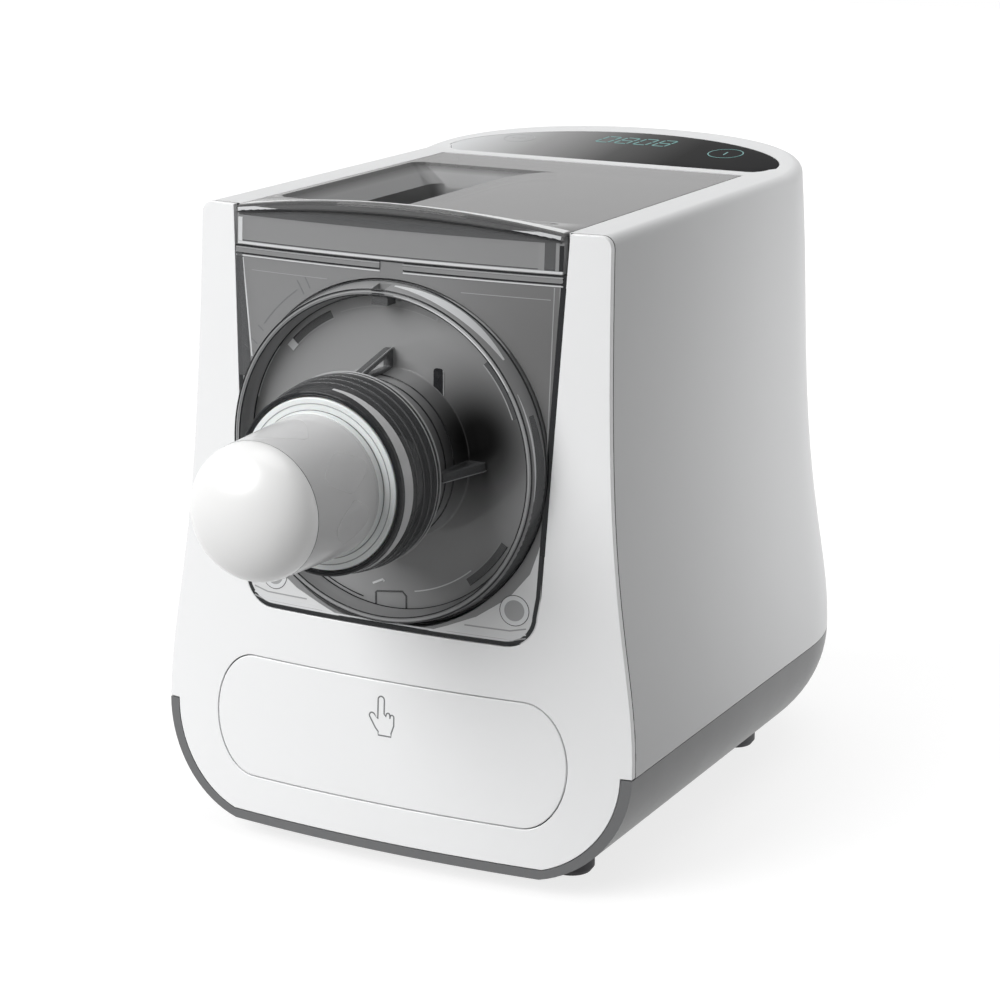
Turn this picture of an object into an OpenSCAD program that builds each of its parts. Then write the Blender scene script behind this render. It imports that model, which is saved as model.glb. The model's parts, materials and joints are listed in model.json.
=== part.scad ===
/* [Body] */
// Greatest width of the body, at the seam between base and shell
body_w = 224; // [212:1:240]
// Width of the rim's shoulder on each side of the lid
shoulder = 17.3; // [16.5:0.1:22]
// Room between the gearbox and the back of the body
tail_room = 73.9; // [70:0.1:90]
// Height of the seam over the underside of the base
seam_h = 47.5; // [46:0.5:48.5]
// Height over the underside from which the base's corners turn upright
keel_rise = 1.2; // [1:0.1:4]
// Height over which the sides flare out towards the seam
flare_h = 78; // [60:1:90]
// Radius of the bowed front face, seen from above
front_r = 650; // [560:10:900]
// Backward lean of the front face in degrees
front_lean = 3; // [2:0.1:3.6]
// How far the back draws in between the seam and the rim
rear_draw = 17; // [10:1:22]
// Further draw of the back towards its top edge
rear_crown = 16; // [8:1:20]
// Wall thickness of shell and base
wall = 2.6; // [2.2:0.1:3]
// Radius of the rim's soft outer edge
rim_r = 5; // [4:0.5:6]
// Thickness of the front panel
panel_t = 3; // [2.6:0.1:3.4]
// Width of the base's trim band round the front panel
trim_w = 5; // [4:0.5:6]
// Height of the rubber feet under the base
foot_h = 8; // [6:0.5:10]
// Radius of the rubber feet
foot_r = 10; // [8:0.5:11]

/* [Window and bowl] */
// Height of the screw's axis over the underside of the base
axis_h = 171; // [152:0.5:190]
// Inner radius of the mixing bowl
bowl_r = 70; // [64:0.5:76]
// Wall thickness of the mixing bowl
bowl_t = 2.5; // [2:0.1:2.8]
// Inner length of the mixing bowl
bowl_l = 165; // [150:0.5:180]
// Spread of the window's sides from its foot to its top, on each side
window_spread = 7.8; // [6:0.1:9]
// Height of the window under the locking ring
window_sill = 1.5; // [1:0.1:3]
// Corner radius at the window's foot
window_r = 14; // [10:0.5:18]

/* [Lid] */
// Height of the lid's front flange
lid_h = 16.3; // [16:0.1:17]
// Room between the bowl's collar and the lid above it
collar_room = 1.2; // [1:0.1:10]
// Thickness of the lid's plate
lid_t = 2.8; // [2.4:0.1:3.2]
// Rise of the arched grip bead at its middle
bead_rise = 6.7; // [4:0.1:8]
// Width of the feed opening at the lid's top
feed_w = 55; // [44:1:60]
// Length of the feed opening at the lid's top
feed_l = 118; // [100:1:122]

/* [Nozzle] */
// Taper of the locking ring between the window and its front lip
ring_taper = 1.7; // [1:0.1:2.4]
// Inner radius of the extruding barrel
barrel_r = 21.5; // [19:0.5:23]
// Outer radius of the barrel under its thread
barrel_out = 35.2; // [34:0.1:35.8]
// Reach of the die's front face ahead of the lower front corners
die_reach = 49; // [45:0.5:54]
// Thickness of the die
die_t = 8; // [7:0.5:9]
// Rows of round holes in the die
die_rows = 3; // [2:1:3]
// Radius of each hole in the die
die_hole_r = 1.4; // [1:0.1:1.8]
// Length of the cap's clear sleeve
sleeve_l = 45; // [36:1:60]
// Outer radius of the sleeve where it meets the die
sleeve_r = 29.3; // [28:0.1:30.5]
// Outer radius of the sleeve at its front end
sleeve_tip_r = 27.5; // [25.5:0.5:29]
// Length of the cap's domed end
dome_l = 17.5; // [12:0.5:28]

/* [Drive] */
// Radius of the drive shaft
shaft_r = 8; // [7.5:0.1:8.4]
// Teeth on the output gear and on the idler's large wheel
wheel_teeth = 60; // [58:2:62]
// Teeth on the idler's small pinion
idler_teeth = 12; // [12:1:13]
// Teeth on the motor pinion
pinion_teeth = 14; // [13:1:15]
// Tooth module of the slow pair
slow_m = 2; // [1.9:0.05:2]
// Tooth module of the fast pair
fast_m = 1.25; // [1.2:0.05:1.3]
// Radius of the motor
motor_r = 34; // [32:0.5:35]
// Room between the bowl and the motor under it
motor_room = 3.5; // [3:0.1:8]

/* [Drawer] */
// Width of the casing's front beside the drawer
drawer_side = 27.2; // [25:0.1:30]
// Height of the drawer front's lower edge over the underside of the base
drawer_low = 20.5; // [18:0.5:23]
// Room between the drawer and the motor's fan behind it
drawer_room = 15.5; // [12:0.5:24]

/* [Hidden] */
$fn = 96;

// Air between neighbouring pieces, and radial clearance of a turning or sliding fit
gap = 0.3;
run_gap = 0.05;
eps = 0.01;

// Bowl, ring and disc
ring_r = bowl_r + 2;
lip_r = ring_r - ring_taper;
lug_h = 4.2;
lug_gap = 0.6;
lug_span = 25;
lug_angles = [45, 135, 225, 315];
collar_in = ring_r + lug_h + lug_gap;
collar_out = collar_in + 2.2;
bowl_front = 25;
bowl_back = bowl_front + bowl_l;
mouth_r = bowl_r - 6;
disc_r = ring_r - 3.3;
disc_face = 8.3;
disc_t = 3;
ring_front = 1;
ring_back = 20;
collar_front = 15;
lug_t = 2.5;
bowl_lug_t = 1.7;
notch_w = 6;

// Window
window_foot = ring_r - 1.6;
window_z = axis_h - ring_r - window_sill;
sill_r_z = window_z + 9.5;
frame_low = window_z - 18.5;

// Bulkhead and gearbox, from front to back
bulk_y = bowl_back + bowl_t + gap;
bulk_t = 3;
bulk_low = wall / 2 + 4 + gap;
bulk_foot_x = 58;
box_y = bulk_y + bulk_t + gap;
box_wall = 3;
box_deep = 35;
box_back = box_y + box_deep;
box_air = 3;
cover_t = 3;
cover_post_l = 10;
slow_back = box_y + 24.3;
slow_w = 14;
fast_back = box_y + 33;
fast_w = 8;
idler_front = slow_back - slow_w - 1;
idler_r = slow_m * idler_teeth / 2;
out_r = slow_m * wheel_teeth / 2;
fast_r = fast_m * wheel_teeth / 2;
pinion_r = fast_m * pinion_teeth / 2;
slow_c = out_r + idler_r;
fast_c = fast_r + pinion_r;
drop = bowl_r + bowl_t + motor_room + motor_r;
motor_z = axis_h - drop;
slow_lean = acos((pow(slow_c, 2) + pow(drop, 2) - pow(fast_c, 2)) / (2 * slow_c * drop));
idler_x = slow_c * sin(slow_lean);
idler_z = axis_h - slow_c * cos(slow_lean);
to_idler = -90 + slow_lean;
to_motor = atan2(motor_z - idler_z, -idler_x);
bearing_r = 16;
bearing_w = 7;
pressure = 25;
tooth_slack = 0.2;
idler_pin_r = 5;
motor_shaft_r = 4;

// Lid well
lid_half = collar_out - 3;
well_half = lid_half + 0.5;
well_wall = 2.4;
hinge_r = 3;
hinge_y = bowl_back + 0.8;
well_back = hinge_y + 3.8;
pin_r = 1.5;
lid_z = axis_h + collar_out + collar_room;
lid_back = hinge_y + 1.7;
skirt_t = 2;
skirt_l = lid_back - 14.5;
feed_x = -lid_half + 7;
feed_y = 43;
funnel_drop = 8.5;
funnel_in = 8;
hump_l = 26;
bead_lip = 1.2;
bead_end = 0.9;
hump_r = lid_half * lid_half / (2 * (bead_rise - bead_end));

// Body form
body_h = lid_z + lid_h;
hinge_z = body_h - hinge_r;
gearbox_top = axis_h + out_r + slow_m + box_air + box_wall;
well_deep = body_h - gearbox_top - 1.5;
body_d = box_back + tail_room;
rim_w = 2 * (lid_half + shoulder);
keel_r = seam_h + keel_rise;
keel_x = body_w / 2 - keel_r;
kink = keel_x + sqrt(pow(keel_r, 2) - pow(seam_h, 2));
nose_y = hinge_y + 14.2;
nose_n = 2.2;
rear_flare_h = 55;
crown_z = body_h - 67.5;
lift_z = body_h - 117.5;
panel_tilt = 6.2;
nose_steps = 32;
front_start = -20;
nozzle_reach = die_reach + sleeve_l + dome_l;
shift_y = (nozzle_reach - body_d) / 2;
bulk_half = rim_w / 2 - 5.3;

// Depths behind the front face
keel_low = 4.3;
seat_d = panel_t + gap;
flange_t = 2.5;
frame_d = seat_d + flange_t + gap;
frame_t = 3;
flange_w = 10;

// Nozzle
barrel_front = die_reach - die_t - gap;
thread_h = 1;
thread_r = barrel_out + thread_h;
die_r = barrel_out - 0.1;
nut_bore = thread_r + 0.4;
nut_back = 21.5;
nut_front = die_reach - gap;
nut_r_back = nut_bore + 3.4;
nut_r_front = nut_bore + 0.6;
nut_lip_r = die_r + 0.4;
die_flange_t = 3;
die_flange_r = nut_bore - 0.5;
sleeve_t = 1.8;
step_r = sleeve_r + 0.7;
step_l = 2.8;
sleeve_back = die_reach + step_l + gap;
sleeve_front = die_reach + sleeve_l;
spigot_r = sleeve_r - sleeve_t - 0.4;
spigot_l = 9;

// Screw and shaft
auger_r = barrel_r - 0.7;
auger_pitch = 30;
auger_span = 42;
auger_back = 40;
hub_r = 11;
rod_r = 3;
rod_first = 50;
rod_last = bowl_back - 35;
rod_ys = [for (i = [0:3]) rod_first + (rod_last - rod_first) * i / 3];
rod_half = [bowl_r - 40, bowl_r - 10, bowl_r - 10, bowl_r - 10];
rod_turns = [90, 20, 140, 80];
hex_r = 6.6;
hex_l = 16;
seal_r = 12.5;
screw_back = bowl_back - 1.2;

// Motor, from front to back
bell_t = 2.5;
stator_l = 38;
bell_l = 15;
rear_bell_back = bulk_y - gap;
stator_back = rear_bell_back - bell_l;
stator_front = stator_back - stator_l;
front_bell_front = stator_front - bell_l;
rotor_r = motor_r - 16.1;
stator_bore = rotor_r + 0.4;
motor_bearing_r = 9.5;
motor_bearing_w = 6;
bolt_ring = motor_r - 3;
bolt_r = 1.5;
fan_r = motor_r - 7;
fan_w = 9;
fan_back = front_bell_front - 3;
motor_front = fan_back - fan_w - 1;

// Drawer
drawer_gap = 0.5;
drawer_half = body_w / 2 - drawer_side;
drawer_end = 20;
drawer_wall = 2;
drawer_front_wall = 12;
drawer_high = frame_low - 3.9;
drawer_h = drawer_high - drawer_low;
drawer_z = (drawer_high + drawer_low) / 2;
drawer_d = motor_front - drawer_room;
box_half = drawer_half - 12.8;
box_bottom = drawer_low + 3.5;
box_top = drawer_high - 4;
runner_t = 2.5;
push_travel = 2.5;
latch_x = 48;
latch_z = box_bottom + 6;
tongue_r = 3;
tongue_front = drawer_d + 1 + push_travel + gap;
tongue_l = 17;
tongue_travel = 4;
spring_l = 5;
latch_deep = tongue_l + tongue_travel + gap + spring_l - 8;

// Mains side
inlet_w = 28.4;
inlet_h = 21;
inlet_z = 78;
inlet_l = 28;
board_t = 1.6;
power_half = 52;
power_low = 30;
power_h = 66;

// Control panel, in its own tilted frame: u to the right, v up the slope, w out of it
glass_half = lid_half + 7.8;
glass_mid = 8.7;
glass_end = 11.8;
glass_back = (body_d - rear_draw - rear_crown - glass_end - nose_y) / cos(panel_tilt) - glass_mid;
glass_front = -0.5;
glass_t = 2;
glass_n = 1.9;
floor_t = 2.2;
tray_half = 66;
tray_v = 5;
tray_l = 40;
tray_w = 14.5;
control_half = 57;
control_l = 31;

// Screws
m3 = 1.5;
m4 = 2;
post_r = 5.5;
post_x = 70;
shell_posts = [for (y = [bulk_y - 64.8, body_d - 89]) each [[-post_x, y], [post_x, y]]];
shell_seat = 34;
feet_at = [for (y = [35, body_d - 93]) each [[-72, y], [72, y]]];
foot_seat = 1.5;

function half_w(z, s = 0) =
    z >= seam_h
    ? rim_w / 2 + (body_w - rim_w) / 2 / (1 + pow((z - seam_h) / flare_h, 2.1)) - s
    : keel_x + sqrt(max(0, pow(keel_r - s, 2) - pow(seam_h - z, 2)));
function rear_y(z, s = 0) =
    z >= seam_h
    ? body_d - rear_draw + rear_draw / (1 + pow((z - seam_h) / rear_flare_h, 2))
        - rear_crown * pow(max(0, (z - crown_z) / (body_h - crown_z)), 2) - s
    : body_d - body_w / 2 + half_w(z, s);
function lift(y, z) =
    max(0, y - nose_y) * tan(panel_tilt) * min(1, max(0, (z - lift_z) / (body_h - lift_z)));
function power(c, n) = sign(c) * pow(abs(c), 2 / n);
function nose_point(w, back, t, z) =
    let (y = nose_y + (back - nose_y) * power(sin(t), nose_n))
    [w * power(cos(t), nose_n), y, z + lift(y, z)];
function ring(z, s, s2 = 0) =
    let (w = half_w(z, s) - s2, back = rear_y(z, s) - s2)
    concat([[w, front_start, z]],
        [for (i = [0:nose_steps]) nose_point(w, back, 180 * i / nose_steps, z)],
        [[-w, front_start, z]]);
function front_y(x, z) =
    (x * x - kink * kink) / (2 * front_r) + z * tan(front_lean);
function steps(a, b, n) = [for (i = [0:n]) a + (b - a) * i / n];
function arc(cx, cy, r, a, b, n = 12) =
    [for (t = steps(a, b, n)) [cx + r * cos(t), cy + r * sin(t)]];
function mirrored(right) =
    concat(right, [for (i = [len(right) - 1:-1:0]) [-right[i][0], right[i][1]]]);

// Moves a piece from the body's own frame to the part's frame
module place() {
    translate([0, shift_y, foot_h]) children();
}

// Turns a shape drawn flat so that it is extruded from y towards the front
module forward(y = 0, x = 0, z = 0) {
    translate([x, y, z]) rotate([90, 0, 0]) children();
}

module both_sides() {
    children();
    mirror([1, 0, 0]) children();
}

// Closed solid through a stack of rings of equal length, whose last ring may be bent across
module loft(rings, bent = true) {
    n = len(rings[0]);
    last = (len(rings) - 1) * n;
    sides = [for (k = [0:len(rings) - 2], j = [0:n - 1])
        let (a = k * n + j, d = k * n + (j + 1) % n)
        each [[a, a + n, d + n], [a, d + n, d]]];
    foot = [[for (j = [0:n - 1]) j]];
    top = bent
        ? [[last + n - 1, last + n - 2, last + 1, last], [for (j = [n - 2:-1:1]) last + j]]
        : [[for (j = [n - 1:-1:0]) last + j]];
    polyhedron(points = [for (r = rings) each r], faces = concat(sides, foot, top));
}

// Everything behind a face that runs d behind the body's bowed front
module behind(d) {
    translate([0, -kink * kink / (2 * front_r), 0])
        rotate([-front_lean, 0, 0])
            translate([0, front_r, -60])
                cylinder(r = front_r - d, h = body_h + 140, $fn = 360);
}

// Layer of the bowed front between two depths, cut to an outline
module front_layer(d, t, y_back = 45) {
    intersection() {
        difference() {
            behind(d);
            behind(d + t);
        }
        forward(y_back) linear_extrude(y_back + 30) children();
    }
}

module body_outline(s, z_low) {
    zs = steps(z_low, body_h - rim_r, 24);
    polygon(mirrored(concat(
        [for (z = zs) [half_w(z, s), z]],
        [for (a = steps(15, 90, 5))
            [half_w(body_h - rim_r, s) - rim_r * (1 - cos(a)), body_h - rim_r * (1 - sin(a))]])));
}

// Rounded foot of the body below the seam, drawn in by the trim band
module keel_outline(band, z_low) {
    r = keel_r - band * 0.7;
    cx = body_w / 2 - band - r;
    a = asin((z_low - seam_h) / r);
    polygon(mirrored(arc(cx, seam_h, r, a, 0.4, 16)));
}

function window_half(z) =
    window_foot + window_spread * (z - sill_r_z) / (body_h - sill_r_z);

module window_outline(grow, z_high) {
    r = window_r + grow;
    x = window_foot - 0.6 - window_r;
    polygon(mirrored(concat(
        arc(x, window_z + window_r, r, -90, 0, 8),
        [[window_half(z_high) + grow, z_high]])));
}

module drawer_outline(grow) {
    x = drawer_half - drawer_end;
    polygon(mirrored([for (a = steps(-90, 90, 24))
        [x + (drawer_end + grow) * cos(a), drawer_z + (drawer_h / 2 + grow) * sin(a)]]));
}

module slope() {
    translate([0, nose_y, body_h]) rotate([panel_tilt, 0, 0]) children();
}

module glass_outline(grow) {
    a = glass_half + grow;
    b = glass_back + grow;
    front = glass_front - grow;
    c = glass_mid - front;
    polygon(mirrored(concat(
        [for (t = steps(0, 75, 5)) [a - c + c * sin(t) - 2, glass_mid - c * cos(t)]],
        [for (t = steps(0, 90, 20))
            [a * power(cos(t), glass_n), glass_mid + b * power(sin(t), glass_n)]])));
}

// Screw that points up, with its head's seat at the origin
module screw(r, l, head_r, head_h) {
    difference() {
        union() {
            cylinder(r = r, h = l, $fn = 24);
            translate([0, 0, -head_h]) cylinder(r = head_r, h = head_h, $fn = 32);
        }
        for (a = [0, 90])
            rotate([0, 0, a])
                translate([-head_r * 0.55, -r * 0.2, -head_h - eps])
                    cube([head_r * 1.1, r * 0.4, head_h * 0.5]);
    }
}

module sector(r1, r2, span, n = 8) {
    polygon(concat(arc(0, 0, r2, -span / 2, span / 2, n), arc(0, 0, r1, span / 2, -span / 2, n)));
}

// Spur wheel with involute flanks, tooth 0 along +x
function involute(rb, r) =
    r <= rb ? 0 : let (a = acos(rb / r)) tan(a) * 180 / PI - a;
module spur(teeth, m) {
    r = m * teeth / 2;
    rb = r * cos(pressure);
    half = 90 / teeth - tooth_slack / 2 / r * 180 / PI;
    root = r - 1.1 * m;
    tip = r + 0.85 * m;
    start = max(root, rb);
    levels = concat([root], [for (i = [0:4]) start + (tip - start) * i / 4 + eps]);
    function flank(q) = half + involute(rb, r) - involute(rb, q);
    polygon([for (i = [0:teeth - 1])
        each concat(
            [for (q = levels) q * [cos(360 * i / teeth - flank(q)), sin(360 * i / teeth - flank(q))]],
            [for (k = [len(levels) - 1:-1:0])
                let (q = levels[k])
                q * [cos(360 * i / teeth + flank(q)), sin(360 * i / teeth + flank(q))]])]);
}

// ---- Casing ----
module outer_shell() color("gainsboro") place() {
    low = seam_h + gap / 2;
    top = body_h - rim_r;
    inner_top = body_h - wall - 0.6;
    flange_back = seat_d + flange_t;
    difference() {
        union() {
            difference() {
                intersection() {
                    loft(concat(
                        [for (z = steps(low, top, 12)) ring(z, 0)],
                        [for (a = [30, 60, 90])
                            ring(top + rim_r * sin(a), 0, rim_r * (1 - cos(a)))]));
                    behind(seat_d);
                }
                intersection() {
                    loft([for (z = steps(low - 1, inner_top, 10)) ring(z, wall)]);
                    behind(flange_back);
                }
                forward(60) linear_extrude(90) intersection() {
                    body_outline(flange_w, low - 5);
                    translate([-body_w, 0]) square([2 * body_w, body_h - flange_w]);
                }
            }
            shell_well();
            shell_lugs();
            panel_floor();
        }
        translate([-well_half, front_start, body_h - well_deep - 20])
            cube([2 * well_half, well_back - front_start, well_deep + 40]);
        slope() translate([0, 0, -glass_t - gap]) linear_extrude(20) glass_outline(gap);
        slope() translate([-control_half - 3, tray_v + 3, -20])
            cube([2 * control_half + 6, tray_l - 4, 40]);
        both_sides() translate([well_half - 1, hinge_y, hinge_z])
            rotate([0, 90, 0]) cylinder(r = pin_r + run_gap, h = 6);
        for (p = shell_posts) translate([p[0], p[1], seam_h - 1])
            cylinder(r = m4 + run_gap, h = 12);
        shell_screw_holes();
        inlet_hole();
        vent_slots();
    }
}

// Walls of the sunk well that the lid closes
module shell_well() {
    intersection() {
        union() {
            both_sides() translate([well_half, front_start, body_h - well_deep])
                cube([well_wall, well_back + well_wall - front_start, well_deep - rim_r / 2]);
            translate([-well_half - 1, well_back, body_h - well_deep])
                cube([2 * well_half + 2, well_wall, well_deep - 1]);
            both_sides() translate([well_half, hinge_y, hinge_z])
                rotate([0, 90, 0]) cylinder(r = hinge_r, h = 6);
        }
        behind(seat_d + gap);
    }
}

// Lugs that take the screws coming up through the base
module shell_lugs() {
    for (p = shell_posts) {
        translate([p[0], p[1], seam_h + gap / 2]) cylinder(r = post_r, h = 14);
        x = p[0] < 0 ? -half_w(seam_h, wall / 2) : p[0];
        translate([x, p[1] - 2, seam_h + gap / 2])
            cube([half_w(seam_h, wall / 2) - abs(p[0]), 4, 9]);
    }
}

// Thickened floor under the control glass
module panel_floor() {
    slope() translate([0, 0, -glass_t - gap - floor_t])
        linear_extrude(floor_t) glass_outline(1.5);
}

module shell_screw_holes() {
    for (p = frame_screw_points())
        translate([p[0], front_y(p[0], p[1]) + seat_d - 1, p[1]])
            rotate([-90, 0, 0]) cylinder(r = m3 + run_gap, h = flange_t + 4);
}

function frame_screw_points() =
    [for (z = [window_z + 7.5, body_h - 45.5]) each [[-half_w(z) + 6.5, z], [half_w(z) - 6.5, z]]];

module inlet_hole() {
    translate([-inlet_w / 2, body_d - 20, inlet_z - inlet_h / 2])
        cube([inlet_w, 30, inlet_h]);
}

module vent_slots() {
    for (i = [-5:5])
        translate([i * 8 - 1.5, body_d - 30, inlet_z + 34]) cube([3, 40, 46]);
}

module front_panel() color("white") place() {
    top = window_half(body_h);
    front_layer(0, panel_t) difference() {
        union() {
            body_outline(0, seam_h + gap);
            keel_outline(trim_w, keel_low);
            translate([-body_w / 2 + trim_w, seam_h - 1])
                square([body_w - 2 * trim_w, 2]);
        }
        window_outline(0, body_h + 20);
        translate([0, axis_h]) circle(r = ring_r + 0.9);
        translate([-top, body_h - 6]) square([2 * top, 10]);
        drawer_outline(0);
    }
}

module base_tub() color("gray") place() {
    top = seam_h - gap / 2;
    ledge = trim_w + 4;
    difference() {
        union() {
            difference() {
                intersection() {
                    loft([for (z = steps(0, top, 9)) ring(z, 0)]);
                    behind(0);
                }
                intersection() {
                    loft([for (z = steps(wall, top + 1, 8)) ring(z, wall)]);
                    behind(seat_d + flange_t);
                }
                front_layer(-10, 10 + seat_d) keel_outline(trim_w - gap, keel_low - gap);
                forward(40) linear_extrude(70) keel_outline(ledge, keel_low + 4);
            }
            for (p = feet_at) translate([p[0], p[1], -foot_seat])
                cylinder(r = foot_r + 2, h = 6 + foot_seat);
            for (p = shell_posts) translate([p[0], p[1], wall / 2])
                cylinder(r = post_r, h = top - wall / 2);
            both_sides() translate([bulk_foot_x - 6, bulk_y - 14, wall / 2])
                cube([12, 13, 4]);
            translate([-30, stator_front + 1, wall / 2]) cube([60, stator_l - 2, 2]);
        }
        for (p = feet_at) translate([p[0], p[1], -foot_seat - 1])
            cylinder(r = m3 + run_gap, h = 20);
        for (p = shell_posts) translate([p[0], p[1], -1]) {
            cylinder(r = 4.1, h = shell_seat + 1);
            cylinder(r = m4 + run_gap, h = 60);
        }
        both_sides() translate([bulk_foot_x, bulk_y - 7.5, wall]) cylinder(r = m3 + run_gap, h = 10);
        for (i = [-4:4]) translate([i * 9 - 2, body_d - 67, -1]) cube([4, 26, wall + 2]);
    }
}

module feet() color("dimgray") place() {
    for (p = feet_at) translate([p[0], p[1], -foot_h]) difference() {
        union() {
            cylinder(r1 = foot_r - 1.5, r2 = foot_r, h = 2);
            translate([0, 0, 2]) cylinder(r = foot_r, h = foot_h - 2 - foot_seat);
        }
        translate([0, 0, -eps]) cylinder(r = 3.5, h = 2.5 + eps);
        cylinder(r = m3 + run_gap, h = foot_h);
    }
}

module foot_screws() color("silver") place() {
    for (p = feet_at) translate([p[0], p[1], -foot_h + 2.5]) screw(m3, 9, 3, 1.8);
}

module shell_screws() color("silver") place() {
    for (p = shell_posts) translate([p[0], p[1], shell_seat])
        screw(m4, seam_h - shell_seat + 8.5, 3.8, 2.4);
}

// ---- Inner frame ----
module front_frame() color("lightgray") place() {
    clear = collar_out + 0.4;
    difference() {
        union() {
            front_layer(frame_d, frame_t) difference() {
                body_outline(wall + 0.7, frame_low);
                translate([0, axis_h]) circle(r = clear);
                translate([-clear, axis_h]) square([2 * clear, 140]);
                translate([-120, body_h - well_deep - 3]) square([240, 60]);
            }
            for (p = window_bosses())
                front_layer(frame_d - gap, gap + eps) translate(p) circle(r = 6.6);
            front_layer(frame_d, frame_t + 9)
                translate([-70, frame_low]) square([140, 2.4]);
        }
        for (p = window_bosses()) translate([p[0], 30, p[1]])
            rotate([90, 0, 0]) cylinder(r = m3 + run_gap, h = 60);
        for (p = frame_screw_points()) translate([p[0], 40, p[1]])
            rotate([90, 0, 0]) cylinder(r = m3 + run_gap, h = 60);
    }
}

function window_bosses() = [[-62, window_z + 9.5], [62, window_z + 9.5]];

module frame_screws() color("silver") place() {
    for (p = frame_screw_points())
        translate([p[0], front_y(p[0], p[1]) + frame_d + frame_t + 0.8, p[1]])
            rotate([90, 0, 0]) screw(m3, frame_t + flange_t - 0.6, 3, 1.8);
    for (p = window_bosses())
        translate([p[0], front_y(p[0], p[1]) + frame_d + frame_t + 0.6, p[1]])
            rotate([90, 0, 0]) screw(m3, frame_t + 2.2, 3, 1.8);
}

module bulkhead() color("darkgray") place() {
    top = body_h - well_deep - 3;
    difference() {
        union() {
            translate([-bulk_half, bulk_y, seam_h + 2])
                cube([2 * bulk_half, bulk_t, top - seam_h - 2]);
            translate([-bulk_half + 24, bulk_y, bulk_low])
                cube([2 * bulk_half - 48, bulk_t, seam_h + 4 - bulk_low]);
            both_sides() translate([bulk_foot_x - 6, bulk_y - 14, bulk_low])
                cube([12, 14 + eps, 3]);
        }
        forward(bulk_y + bulk_t + 1, 0, axis_h) cylinder(r = 17, h = bulk_t + 2);
        forward(bulk_y + bulk_t + 1, 0, motor_z) cylinder(r = 12, h = bulk_t + 2);
        for (a = [45:90:315]) motor_hole(a, bulk_y + bulk_t + 1, bulk_t + 2);
        for (p = box_screw_points()) forward(bulk_y + bulk_t + 1, p[0], p[1])
            cylinder(r = m3 + run_gap, h = bulk_t + 2);
        both_sides() translate([bulk_foot_x, bulk_y - 7.5, 0])
            cylinder(r = m3 + run_gap, h = 20);
    }
}

module bulkhead_screws() color("silver") place() {
    both_sides() translate([bulk_foot_x, bulk_y - 7.5, bulk_low + 3])
        rotate([180, 0, 0]) screw(m3, 5.4, 3, 1.8);
}

// ---- Window and bowl ----
module window_plate() color("slategray", 0.5) place() {
    difference() {
        union() {
            front_layer(0, seat_d + eps) window_outline(-0.4, lid_z - 0.4);
            front_layer(seat_d, flange_t - gap) difference() {
                window_outline(5, body_h - well_deep - 4);
                translate([0, axis_h]) circle(r = collar_out + 0.5);
            }
        }
        forward(60, 0, axis_h) cylinder(r = ring_r + 0.9, h = 90);
        for (p = window_bosses())
            translate([p[0], front_y(p[0], p[1]) + 2, p[1]])
                rotate([-90, 0, 0]) cylinder(r = m3 + run_gap, h = 20);
    }
}

module bowl_section(grow, top) {
    translate([0, axis_h]) circle(r = bowl_r + grow);
    translate([-bowl_r - grow, axis_h]) square([2 * (bowl_r + grow), top - axis_h]);
}

module mixing_bowl() color("slategray", 0.5) place() {
    rim = lid_z - gap;
    front = bowl_front - bowl_t;
    back = bowl_back + bowl_t;
    difference() {
        union() {
            forward(back) linear_extrude(back - front) bowl_section(bowl_t, rim);
            translate([-lid_half, front, rim - bowl_t])
                cube([2 * lid_half, well_back - gap - front, bowl_t]);
            forward(front + eps, 0, axis_h) cylinder(r = collar_out, h = front - collar_front);
        }
        forward(bowl_back) linear_extrude(bowl_l) bowl_section(0, rim + 10);
        forward(front, 0, axis_h) cylinder(r = collar_in, h = 40);
        forward(bowl_front + 1, 0, axis_h) cylinder(r = mouth_r, h = 10);
        forward(back + 1, 0, axis_h) cylinder(r = seal_r + run_gap, h = bowl_t + 2);
    }
    for (a = lug_angles) forward(collar_front + bowl_lug_t, 0, axis_h)
        rotate([0, 0, a]) linear_extrude(bowl_lug_t)
            sector(ring_r + lug_gap, collar_in + 0.6, lug_span);
}

module disc_gasket() color("dimgray") place() {
    forward(bowl_front - bowl_t - gap, 0, axis_h) difference() {
        cylinder(r = disc_r, h = 2.2);
        translate([0, 0, -1]) cylinder(r = mouth_r + 1, h = 5);
    }
}

module locking_ring() color("slategray", 0.6) place() {
    forward(0, 0, axis_h) {
        difference() {
            rotate_extrude() polygon([[ring_r, -ring_back], [ring_r, -disc_face + 0.3],
                [lip_r, ring_front - 0.8], [lip_r - 0.8, ring_front],
                [lip_r - 2.4, ring_front], [lip_r - 2.9, ring_front - 0.6],
                [disc_r - 2.6, -disc_face + 0.4], [disc_r - 2.6, -disc_face + gap],
                [disc_r + 0.3, -disc_face + gap], [disc_r + 0.3, -ring_back]]);
            translate([-notch_w / 2, lip_r - 6, -disc_face + 3]) cube([notch_w, 12, 20]);
        }
        for (a = lug_angles) rotate([0, 0, a]) translate([0, 0, -ring_back + 0.4])
            linear_extrude(lug_t) sector(ring_r - 0.6, ring_r + lug_h, lug_span);
    }
}

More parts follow.
